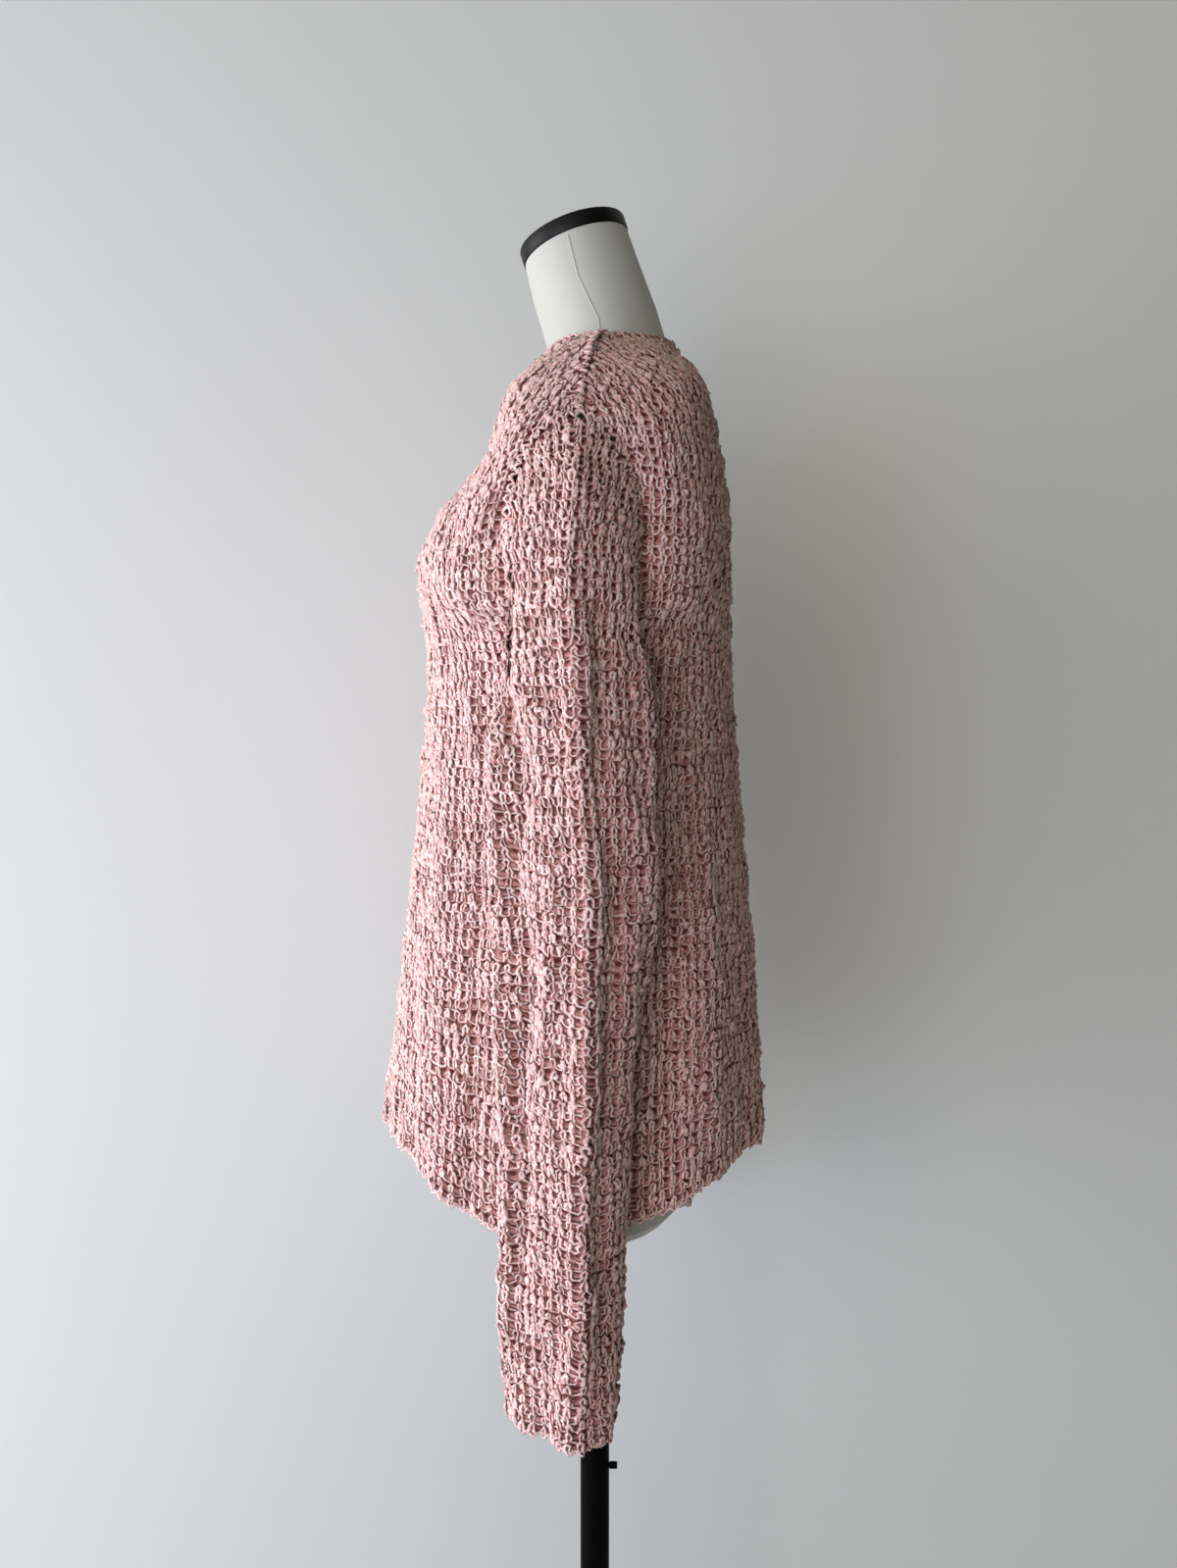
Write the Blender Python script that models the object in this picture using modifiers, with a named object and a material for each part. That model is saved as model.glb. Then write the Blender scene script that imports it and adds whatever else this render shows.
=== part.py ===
"""Ribbed knit sweater worn on a limbless dress form with a round-based stand.

Metres, +Z up. The origin is on the floor, on the axis of the stand's pole. The garment's front
faces -Y and the wearer's left is +X. The sweater is four knitted pieces: front, back and two
sleeves. Each is a thin wall, plain inside and ribbed outside, worked out from a short table of
sections. The form stands on a two-part pole: the inner tube slides in the outer one.
"""

import math

import bmesh
import bpy
import numpy as np

# --- knitted cloth -----------------------------------------------------------------------------
WALL = 0.0016  # plain wall under the ribs
RIB_HEIGHT = 0.0014  # how far a rib stands out of the wall
SEAM_GAP = 0.0004  # clear space between two pieces at a seam, each side gives half of it or more
PANEL_RIBS = 48  # ribs across the front, and across the back
PANEL_INNER_SPANS = 24  # plain spans across the inside of a panel
SLEEVE_RIBS = 24
SLEEVE_INNER_SPANS = 24

# --- neck, shoulder and armhole ----------------------------------------------------------------
NECK_HALF_WIDTH = 0.088
NECK_SIDE_Y = 0.008
NECK_SIDE_Z = 1.366
SHOULDER_X = 0.200
SHOULDER_Y = -0.012
SHOULDER_Z = 1.275
SHOULDER_SLOPE = 0.30  # fall per metre of the shoulder beside the neck, before it rounds off
UNDERARM_X = 0.187
UNDERARM_Z = 1.120
ARMHOLE_FRONT_REACH = 0.050  # how far the armhole swings forward of the shoulder point
ARMHOLE_BACK_REACH = 0.041

# Sections of each panel from the hem up. Above the underarm a section ends on the armhole, at
# the given angle from the armhole's middle; below it, on the side seam. rise: how soon the section
# climbs from its side to the level of its centre. rows: bands of the net between this section and
# the next one up.
PANEL_COLUMNS = (
    "side_x", "armhole_angle", "side_z", "centre_y", "centre_z", "squareness", "rise", "rows",
)
FRONT_SECTIONS = (
    (0.188, None, 0.742, -0.1715, 0.742, 2.20, 2.0, 2),
    (0.188, None, 0.870, -0.1600, 0.870, 2.20, 2.0, 2),
    (0.188, None, 1.000, -0.1480, 1.000, 2.20, 2.0, 2),
    (0.187, -90.0, 1.120, -0.1395, 1.110, 2.25, 2.0, 2),
    (0.000, -38.0, 0.000, -0.1435, 1.198, 2.40, 2.0, 1),
    (0.000, -5.0, 0.000, -0.1235, 1.242, 2.60, 2.0, 1),
    (0.000, 30.0, 0.000, -0.0850, 1.286, 2.90, 2.0, 1),
    (0.000, 62.0, 0.000, -0.0620, 1.332, 3.00, 3.6, 2),
    (0.000, 90.0, 0.000, -0.0410, 1.370, 2.20, 0.0, 0),
)
BACK_SECTIONS = (
    (0.188, None, 0.745, 0.1350, 0.745, 2.30, 2.0, 2),
    (0.188, None, 0.870, 0.1290, 0.870, 2.30, 2.0, 2),
    (0.188, None, 1.000, 0.1180, 1.000, 2.30, 2.0, 2),
    (0.187, -90.0, 1.120, 0.1095, 1.110, 2.40, 2.0, 2),
    (0.000, -38.0, 0.000, 0.1065, 1.200, 2.50, 2.0, 1),
    (0.000, -5.0, 0.000, 0.1035, 1.252, 2.60, 2.0, 1),
    (0.000, 30.0, 0.000, 0.0940, 1.298, 2.70, 2.2, 1),
    (0.000, 62.0, 0.000, 0.0800, 1.338, 2.60, 3.6, 2),
    (0.000, 90.0, 0.000, 0.0660, 1.3745, 2.20, 0.0, 0),
)
# The hem dips towards the sides: how deep, and where across the half panel it starts and ends.
HEM_DIP = {"front": (0.036, 0.40, 0.85), "back": (0.029, 0.46, 0.95)}

# Soft folds of a hanging panel, each widest and deepest at the hem.
FOLD_COLUMNS = ("across", "width", "height", "fades_at_z")
FRONT_FOLDS = (
    (-0.62, 0.110, 0.0050, 1.08),
    (-0.20, 0.150, -0.0040, 1.00),
    (0.15, 0.120, 0.0045, 1.05),
    (0.55, 0.100, 0.0055, 1.10),
)
BACK_FOLDS = (
    (-0.66, 0.090, 0.0045, 1.06),
    (-0.34, 0.120, 0.0050, 1.12),
    (-0.04, 0.130, -0.0035, 1.04),
    (0.32, 0.150, 0.0160, 0.98),
    (0.70, 0.080, 0.0050, 1.00),
)

# Sections of a hanging sleeve under its armhole: the outer crease, the front and back folds and
# the side that lies towards the body.
SLEEVE_COLUMNS = (
    "crease_x", "crease_y", "crease_z",
    "front_x", "front_y", "front_z",
    "back_x", "back_y", "back_z",
    "inner_x", "inner_z", "rows",
)
SLEEVE_SECTIONS = (
    (0.2335, -0.014, 1.226, 0.2140, -0.0600, 1.165, 0.2120, 0.0250, 1.165, 0.2010, 1.095, 1),
    (0.2430, -0.018, 1.165, 0.2130, -0.0630, 1.115, 0.2120, 0.0310, 1.115, 0.2005, 1.050, 2),
    (0.2490, -0.012, 1.050, 0.2120, -0.0705, 1.030, 0.2120, 0.0380, 1.030, 0.2000, 1.000, 1),
    (0.2490, -0.007, 0.950, 0.2120, -0.0685, 0.950, 0.2120, 0.0385, 0.950, 0.2000, 0.940, 2),
    (0.2490, -0.008, 0.850, 0.2120, -0.0670, 0.850, 0.2120, 0.0245, 0.850, 0.2010, 0.850, 2),
    (0.2490, -0.009, 0.720, 0.2120, -0.0655, 0.720, 0.2120, 0.0195, 0.720, 0.2010, 0.720, 2),
    (0.2490, -0.010, 0.592, 0.2120, -0.0640, 0.596, 0.2120, 0.0165, 0.592, 0.2020, 0.596, 0),
)
SLEEVE_HEAD_ROWS = 2  # bands between the armhole and the first section
OUTER_ROUNDNESS = 0.30  # 0 is a flat facet between crease and fold, 1 is an elliptical quarter
INNER_ROUNDNESS = 0.75
SLEEVE_STANDOFF = 0.0042  # keeps the sleeve clear of the side seam under the arm
RIGHT_SLEEVE_SWING = 0.085  # how far back the right cuff hangs from the left one
RIGHT_SLEEVE_DROP = 0.022  # and how much lower
SWING_TOP_Z = 1.20
CUFF_Z = 0.594

# --- dress form --------------------------------------------------------------------------------
FORM_COLUMNS = ("z", "half_width", "front_y", "back_y", "squareness", "lean")
FORM_SECTIONS = (
    (0.687, 0.158, -0.088, 0.071, 2.3, 0.00),
    (0.695, 0.165, -0.094, 0.078, 2.3, 0.00),
    (0.780, 0.168, -0.100, 0.086, 2.3, 0.00),
    (0.860, 0.160, -0.098, 0.084, 2.3, 0.00),
    (0.940, 0.139, -0.089, 0.068, 2.2, 0.00),
    (1.000, 0.127, -0.087, 0.060, 2.2, 0.00),
    (1.060, 0.131, -0.096, 0.068, 2.2, 0.00),
    (1.120, 0.143, -0.115, 0.083, 2.3, 0.00),
    (1.180, 0.154, -0.129, 0.094, 2.4, 0.00),
    (1.215, 0.160, -0.121, 0.095, 2.5, 0.00),
    (1.250, 0.166, -0.096, 0.092, 2.4, 0.00),
    (1.280, 0.172, -0.071, 0.086, 2.3, 0.00),
    (1.304, 0.169, -0.056, 0.078, 2.1, 0.02),
    (1.324, 0.151, -0.047, 0.071, 2.0, 0.04),
    (1.340, 0.126, -0.041, 0.066, 1.9, 0.07),
    (1.354, 0.094, -0.037, 0.062, 1.9, 0.10),
    (1.376, 0.062, -0.036, 0.060, 2.0, 0.16),
    (1.402, 0.052, -0.0425, 0.0515, 2.0, 0.22),
    (1.434, 0.046, -0.0515, 0.0385, 2.0, 0.28),
    (1.464, 0.044, -0.0580, 0.0270, 2.0, 0.328),
)
FORM_SPANS = 36
FORM_ROWS_BETWEEN = 1

CAP_THICKNESS = 0.0125
CAP_OVERHANG = 0.0010
CAP_EDGE = 0.0015
CAP_SPANS = 40

# --- stand -------------------------------------------------------------------------------------
FIT = 0.0005  # radial clearance where one stand piece slides in another
TOUCH = 0.0003  # gap kept between pieces that bear on each other
TUBE_WALL = 0.0015
OUTER_TUBE_RADIUS = 0.0125
OUTER_TUBE_TOP = 0.480
INNER_TUBE_RADIUS = OUTER_TUBE_RADIUS - TUBE_WALL - FIT
INNER_TUBE_BOTTOM = 0.210
SOCKET_DEPTH = 0.090
BASE_RADIUS = 0.150
BASE_THICKNESS = 0.010
BASE_EDGE = 0.002
BOSS_RADIUS = 0.021
BOSS_TOP = 0.034
BASE_FLOOR = 0.004  # metal left under the tube's seat
SCREW_Z = 0.424
SCREW_RADIUS = 0.0024
SCREW_HEAD_RADIUS = 0.0030
SCREW_REACH = 0.0195  # from the pole's axis to the outer end of the head
ROUND_STEPS = 40
SMALL_ROUND_STEPS = 20

SEAM_HOLD = 8  # power that keeps what is done to a panel, or to its side seams, apart
EDGE_SAMPLES = 240  # points that a section is worked out with before its net is spaced along it


# --- shared geometry ---------------------------------------------------------------------------
def spaced(points, count):
    """The open run of points, spaced evenly along its length with count spans."""
    points = np.asarray(points, float)
    steps = np.linalg.norm(np.diff(points, axis=0), axis=1)
    travelled = np.concatenate([[0.0], np.cumsum(steps)])
    wanted = np.linspace(0.0, travelled[-1], count + 1)
    return np.stack([np.interp(wanted, travelled, points[:, axis]) for axis in range(3)], axis=1)


def smooth_through(stations, rows):
    """Smooth curves through the matching points of the stations, cut into bands.

    stations has one array of points for each section; rows says how many bands lie between a
    section and the next. The result has one array of points for each line of the net.
    """
    stations = [np.asarray(station, float) for station in stations]
    gaps = [np.linalg.norm(b - a, axis=1).mean() for a, b in zip(stations, stations[1:])]
    at = np.concatenate([[0.0], np.cumsum(gaps)])
    slopes = []
    for i, station in enumerate(stations):
        before = max(i - 1, 0)
        after = min(i + 1, len(stations) - 1)
        slopes.append((stations[after] - stations[before]) / (at[after] - at[before]))
    lines = []
    for i, count in enumerate(rows):
        span = at[i + 1] - at[i]
        for k in range(count):
            t = k / count
            lines.append(
                (2 * t**3 - 3 * t**2 + 1) * stations[i]
                + (t**3 - 2 * t**2 + t) * span * slopes[i]
                + (3 * t**2 - 2 * t**3) * stations[i + 1]
                + (t**3 - t**2) * span * slopes[i + 1]
            )
    lines.append(stations[-1])
    return np.array(lines)


def ramp(value, low, high):
    """0 below low, 1 above high, and a smooth rise between them."""
    t = np.clip((value - low) / (high - low), 0.0, 1.0)
    return t * t * (3.0 - 2.0 * t)


def net_normals(net, closed):
    """Outward unit normals of a net whose lines run up and whose points run across."""
    if closed:
        across = np.roll(net, -1, axis=1) - np.roll(net, 1, axis=1)
    else:
        across = np.gradient(net, axis=1)
    up = np.gradient(net, axis=0)
    normals = np.cross(across, up)
    return normals / np.linalg.norm(normals, axis=2, keepdims=True)


# --- panel surface -----------------------------------------------------------------------------
def armhole_point(angle, facing):
    """Point of the armhole's edge; facing is -1 on the front's side and +1 on the back's."""
    reach = ARMHOLE_FRONT_REACH if facing < 0 else ARMHOLE_BACK_REACH
    rise = (1.0 + math.sin(math.radians(angle))) / 2
    return np.array([
        UNDERARM_X + (SHOULDER_X - UNDERARM_X) * rise,
        SHOULDER_Y + facing * reach * math.cos(math.radians(angle)),
        UNDERARM_Z + (SHOULDER_Z - UNDERARM_Z) * rise,
    ])


def half_section(row, facing):
    """Half of a panel's section, from its side to the centre line, at +X."""
    if row["armhole_angle"] is None:
        side = np.array([row["side_x"], SHOULDER_Y, row["side_z"]])
    else:
        side = armhole_point(row["armhole_angle"], facing)
    turn = np.linspace(0.0, math.pi / 2, EDGE_SAMPLES)
    power = 2.0 / row["squareness"]
    out = np.cos(turn) ** power
    forward = np.sin(turn) ** power
    return np.stack([
        side[0] * out,
        side[1] + (row["centre_y"] - side[1]) * forward,
        side[2] + (row["centre_z"] - side[2]) * (1.0 - out ** row["rise"]),
    ], axis=1)


def shoulder_height(out):
    """Height of the shoulder line; out is 0 at the neck and 1 at the sleeve."""
    straight = SHOULDER_SLOPE * (SHOULDER_X - NECK_HALF_WIDTH)
    return NECK_SIDE_Z - straight * out - (NECK_SIDE_Z - SHOULDER_Z - straight) * out**3


def top_edge(row, facing):
    """The panel's upper edge at +X: along the shoulder, then round the neckline."""
    t = np.linspace(0.0, 1.0, EDGE_SAMPLES)
    shoulder = np.stack([
        SHOULDER_X + (NECK_HALF_WIDTH - SHOULDER_X) * t,
        SHOULDER_Y + (NECK_SIDE_Y - SHOULDER_Y) * t + facing * SEAM_GAP,
        shoulder_height(1.0 - t),
    ], axis=1)
    turn = t[1:] * math.pi / 2
    power = 2.0 / row["squareness"]
    neck_y = NECK_SIDE_Y + facing * SEAM_GAP
    neckline = np.stack([
        NECK_HALF_WIDTH * np.cos(turn) ** power,
        neck_y + (row["centre_y"] - neck_y) * np.sin(turn) ** power,
        NECK_SIDE_Z + (row["centre_z"] - NECK_SIDE_Z) * np.sin(turn) ** 2,
    ], axis=1)
    return np.concatenate([shoulder, neckline])


def panel_net(sections, facing, spans):
    """The panel's smooth surface as lines of spans + 1 points each, from the hem to the top.

    The points of a line run so that the normals face outwards: from -X to +X on the front and
    from +X to -X on the back.
    """
    rows = [dict(zip(PANEL_COLUMNS, section)) for section in sections]
    stations = []
    for row in rows:
        half = top_edge(row, facing) if row["armhole_angle"] == 90.0 else half_section(row, facing)
        mirrored = half[::-1] * (-1.0, 1.0, 1.0)
        whole = np.concatenate([half, mirrored[1:]])
        if facing < 0:
            whole = whole[::-1]
        stations.append(spaced(whole, spans))
    return smooth_through(stations, [row["rows"] for row in rows[:-1]])


def hang(net, facing, folds):
    """Adds the hem's dip and the soft folds to a panel's net."""
    depth, start, end = HEM_DIP["front" if facing < 0 else "back"]
    across = np.linspace(-1.0, 1.0, net.shape[1])
    low = net[0, :, 2].copy()
    dip = depth * ramp(np.abs(across), start, end)
    reach = FRONT_SECTIONS[1][2] - low  # the dip is spread over the lowest band of the panel
    share = np.clip(1.0 - (net[:, :, 2] - low) / reach, 0.0, 1.0)
    net[:, :, 2] -= dip * share
    normals = net_normals(net, closed=False)
    for values in folds:
        fold = dict(zip(FOLD_COLUMNS, values))
        form = np.exp(-(((across - fold["across"]) / fold["width"]) ** 2))
        strength = 1.0 - ramp(net[:, :, 2], low.min(), fold["fades_at_z"])
        keep = 1.0 - np.abs(across) ** SEAM_HOLD  # the side seams stay where they are
        net += normals * (fold["height"] * form * strength * keep)[:, :, None]
    return net


def shape_panel(name, spans):
    """Net and normals of the front or the back, with its seams trimmed clear of the neighbours."""
    facing = -1 if name == "front" else 1
    sections = FRONT_SECTIONS if name == "front" else BACK_SECTIONS
    folds = FRONT_FOLDS if name == "front" else BACK_FOLDS
    net = panel_net(sections, facing, spans)
    across = np.linspace(-1.0, 1.0, spans + 1)
    seam_y = SHOULDER_Y + facing * SEAM_GAP
    below_arm = net[:, 0, 2] <= UNDERARM_Z + SEAM_GAP
    for line in np.flatnonzero(below_arm):  # the side seams hang straight under the armholes
        net[line, :, 1] += (seam_y - net[line, 0, 1]) * np.abs(across) ** SEAM_HOLD
    net = hang(net, facing, folds)
    normals = net_normals(net, closed=False)
    on_shoulder = np.abs(net[-1, :, 0]) > NECK_HALF_WIDTH
    normals[-1, on_shoulder, 1] = 0.0  # the two panels' ends meet square along the shoulder
    for edge in (0, -1):
        normals[below_arm, edge, 1:] = 0.0  # and along the side seams
    normals /= np.linalg.norm(normals, axis=2, keepdims=True)
    return net, normals


# --- sleeve surface ----------------------------------------------------------------------------
def quarter(start, end, middle, roundness):
    """A quarter of a ring from start to end, between a straight run and an elliptical one."""
    t = np.linspace(0.0, 1.0, EDGE_SAMPLES)[:, None]
    straight = start * (1.0 - t) + end * t
    turn = t * math.pi / 2
    elliptical = middle + (start - middle) * np.cos(turn) + (end - middle) * np.sin(turn)
    return straight * (1.0 - roundness) + elliptical * roundness


def sleeve_ring(row, spans):
    """One section of the left sleeve, from its crease round the front, the inside and the back."""
    crease = np.array([row["crease_x"], row["crease_y"], row["crease_z"]])
    front = np.array([row["front_x"], row["front_y"], row["front_z"]])
    back = np.array([row["back_x"], row["back_y"], row["back_z"]])
    middle = (front + back) / 2
    inner = np.array([row["inner_x"], middle[1], row["inner_z"]])
    run = np.concatenate([
        quarter(crease, front, middle, OUTER_ROUNDNESS),
        quarter(front, inner, middle, INNER_ROUNDNESS)[1:],
        quarter(inner, back, middle, INNER_ROUNDNESS)[1:],
        quarter(back, crease, middle, OUTER_ROUNDNESS)[1:],
    ])
    return spaced(run, spans)[:-1]


def armhole_ring(spans):
    """The sleeve's upper edge, just clear of the armhole, from the shoulder round the front."""
    run = []
    for step in range(2 * EDGE_SAMPLES + 1):
        turn = 360.0 * step / (2 * EDGE_SAMPLES)
        facing = -1 if turn <= 180.0 else 1
        angle = 90.0 - turn if turn <= 180.0 else turn - 270.0
        point = armhole_point(angle, facing)
        low = (1.0 - math.sin(math.radians(angle))) / 2
        point[0] += SEAM_GAP + RIB_HEIGHT / 2 + SLEEVE_STANDOFF * low
        run.append(point)
    return spaced(np.array(run), spans)[:-1]


def shape_sleeve(side, spans):
    """Net and normals of a sleeve; side is +1 for the wearer's left and -1 for the right."""
    rows = [dict(zip(SLEEVE_COLUMNS, section)) for section in SLEEVE_SECTIONS]
    stations = [armhole_ring(spans)] + [sleeve_ring(row, spans) for row in rows]
    net = smooth_through(stations, [SLEEVE_HEAD_ROWS] + [row["rows"] for row in rows[:-1]])
    if side < 0:
        net = net[:, ::-1] * (-1.0, 1.0, 1.0)
        fall = np.clip((SWING_TOP_Z - net[:, :, 2]) / (SWING_TOP_Z - CUFF_Z), 0.0, None)
        net[:, :, 1] += RIGHT_SLEEVE_SWING * fall**1.3
        net[:, :, 2] -= RIGHT_SLEEVE_DROP * fall
    normals = net_normals(net, closed=True)
    low = (SHOULDER_Z - net[0, :, 2]) / (SHOULDER_Z - UNDERARM_Z)
    normals[0, :, 0] *= low  # over the shoulder the sleeve's end is square to the panels' edges
    normals /= np.linalg.norm(normals, axis=2, keepdims=True)
    return net, normals


# --- mesh building -----------------------------------------------------------------------------
def zip_edges(a, b):
    """Triangles between two runs of vertices that may have different counts."""
    last_a = len(a) - 1
    last_b = len(b) - 1
    faces = []
    i = j = 0
    while i < last_a or j < last_b:
        if j == last_b or (i < last_a and (i + 1) * last_b <= (j + 1) * last_a):
            faces.append((a[i], a[i + 1], b[j]))
            i += 1
        else:
            faces.append((a[i], b[j + 1], b[j]))
            j += 1
    return faces


def sheet_faces(ids, closed):
    """Quads of a net of vertices, facing the net's normals."""
    lines, points = ids.shape
    faces = []
    for row in range(lines - 1):
        for k in range(points if closed else points - 1):
            n = (k + 1) % points
            faces.append((ids[row, k], ids[row, n], ids[row + 1, n], ids[row + 1, k]))
    return faces


def ribbed_wall(outer_shape, inner_shape, closed):
    """Vertices and faces of a wall that is ribbed outside and plain inside.

    Each shape is a net and its normals. Every second point of the outer net is a rib's ridge.
    """
    net, normals = outer_shape
    ridge = (np.arange(net.shape[1]) % 2 == 1) * RIB_HEIGHT
    outside = net + normals * ridge[None, :, None]
    inside = inner_shape[0] - inner_shape[1] * WALL
    vertices = np.concatenate([outside.reshape(-1, 3), inside.reshape(-1, 3)])
    out_ids = np.arange(outside.shape[0] * outside.shape[1]).reshape(outside.shape[:2])
    in_ids = np.arange(inside.shape[0] * inside.shape[1]).reshape(inside.shape[:2]) + out_ids.size
    faces = sheet_faces(out_ids, closed)
    faces += [face[::-1] for face in sheet_faces(in_ids, closed)]

    def run(ids, row):
        line = list(ids[row])
        return line + line[:1] if closed else line

    faces += [face[::-1] for face in zip_edges(run(out_ids, 0), run(in_ids, 0))]
    faces += zip_edges(run(out_ids, -1), run(in_ids, -1))
    if not closed:
        faces += zip_edges(list(out_ids[:, 0]), list(in_ids[:, 0]))
        faces += [face[::-1] for face in zip_edges(list(out_ids[:, -1]), list(in_ids[:, -1]))]
    return vertices, faces


def new_material(name, color, roughness, metallic=0.0):
    material = bpy.data.materials.new(name)
    material.use_nodes = True
    shader = material.node_tree.nodes["Principled BSDF"]
    shader.inputs["Base Color"].default_value = (*color, 1.0)
    shader.inputs["Roughness"].default_value = roughness
    shader.inputs["Metallic"].default_value = metallic
    return material


def add_object(name, mesh, material, collection):
    obj = bpy.data.objects.new(name, mesh)
    collection.objects.link(obj)
    obj.data.materials.append(material)
    return obj


def mesh_from(name, vertices, faces):
    mesh = bpy.data.meshes.new(name)
    mesh.from_pydata([tuple(v) for v in vertices], [], [tuple(int(i) for i in f) for f in faces])
    return mesh


def turned(name, profile, closed, steps, material, collection):
    """A turned piece: its profile in (radius, height) run round the Z axis by a Screw modifier."""
    mesh = bpy.data.meshes.new(name)
    edges = [(i, i + 1) for i in range(len(profile) - 1)]
    if closed:
        edges.append((len(profile) - 1, 0))
    mesh.from_pydata([(radius, 0.0, height) for radius, height in profile], edges, [])
    obj = add_object(name, mesh, material, collection)
    screw = obj.modifiers.new("turn", "SCREW")
    screw.steps = steps
    screw.render_steps = steps
    screw.use_merge_vertices = True
    screw.merge_threshold = 0.00005
    return obj


# --- the pieces --------------------------------------------------------------------------------
def make_panel(name, material, collection):
    outer = shape_panel(name, 2 * PANEL_RIBS)
    inner = shape_panel(name, PANEL_INNER_SPANS)
    vertices, faces = ribbed_wall(outer, inner, closed=False)
    add_object(name, mesh_from(name, vertices, faces), material, collection)


def make_sleeve(name, side, material, collection):
    outer = shape_sleeve(side, 2 * SLEEVE_RIBS)
    inner = shape_sleeve(side, SLEEVE_INNER_SPANS)
    vertices, faces = ribbed_wall(outer, inner, closed=True)
    add_object(name, mesh_from(name, vertices, faces), material, collection)


def form_ring(row):
    turn = np.linspace(0.0, 2 * math.pi, FORM_SPANS, endpoint=False)
    power = 2.0 / row["squareness"]
    middle = (row["front_y"] + row["back_y"]) / 2
    x = row["half_width"] * np.sign(np.sin(turn)) * np.abs(np.sin(turn)) ** power
    reach = np.where(np.cos(turn) > 0, row["front_y"] - middle, middle - row["back_y"])
    y = middle + reach * np.sign(np.cos(turn)) * np.abs(np.cos(turn)) ** power
    z = row["z"] + row["lean"] * (y - middle)
    return np.stack([x, y, z], axis=1)


def make_form(material, collection, cutters):
    """The torso: smooth rings from the cut-off hip to the neck, with a socket for the pole."""
    rows = [dict(zip(FORM_COLUMNS, section)) for section in FORM_SECTIONS]
    net = smooth_through([form_ring(row) for row in rows], [FORM_ROWS_BETWEEN] * (len(rows) - 1))
    ids = np.arange(net.shape[0] * net.shape[1]).reshape(net.shape[:2])
    faces = sheet_faces(ids, closed=True) + [list(ids[0])[::-1], list(ids[-1])]
    form = add_object("form", mesh_from("form", net.reshape(-1, 3), faces), material, collection)

    bottom = rows[0]["z"]
    bpy.ops.mesh.primitive_cylinder_add(
        vertices=ROUND_STEPS,
        radius=INNER_TUBE_RADIUS + FIT,
        depth=2 * SOCKET_DEPTH,
        location=(0.0, 0.0, bottom),
    )
    socket = bpy.context.object
    put_away(socket, "pole_socket_cutter", cutters)
    cut = form.modifiers.new("pole socket", "BOOLEAN")
    cut.object = socket
    cut.operation = "DIFFERENCE"


def put_away(cutter, name, cutters):
    cutter.name = name
    for collection in cutter.users_collection:
        collection.objects.unlink(cutter)
    cutters.objects.link(cutter)
    cutter.hide_render = True
    cutter.display_type = "WIRE"


def make_neck_cap(material, collection):
    """The flat oval plate that closes the neck, parallel to the neck's sloping end."""
    neck = dict(zip(FORM_COLUMNS, FORM_SECTIONS[-1]))
    slope = math.atan(neck["lean"])
    half_length = (neck["back_y"] - neck["front_y"]) / 2 / math.cos(slope) + CAP_OVERHANG
    half_width = neck["half_width"] + CAP_OVERHANG
    mesh = bpy.data.meshes.new("neck_cap")
    work = bmesh.new()
    bmesh.ops.create_cone(
        work, cap_ends=True, segments=CAP_SPANS, radius1=1.0, radius2=1.0, depth=CAP_THICKNESS
    )
    bmesh.ops.scale(work, vec=(half_width, half_length, 1.0), verts=work.verts)
    rims = [edge for edge in work.edges if len(edge.link_faces) == 2
            and max(len(face.verts) for face in edge.link_faces) > 4]
    bmesh.ops.bevel(
        work, geom=rims, offset=CAP_EDGE, segments=2, profile=0.5, affect="EDGES", material=-1
    )
    work.to_mesh(mesh)
    work.free()
    cap = add_object("neck_cap", mesh, material, collection)
    lift = TOUCH + CAP_THICKNESS / 2
    middle_y = (neck["front_y"] + neck["back_y"]) / 2
    cap.location = (
        0.0,
        middle_y - math.sin(slope) * lift,
        neck["z"] + math.cos(slope) * lift,
    )
    cap.rotation_euler = (slope, 0.0, 0.0)


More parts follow.
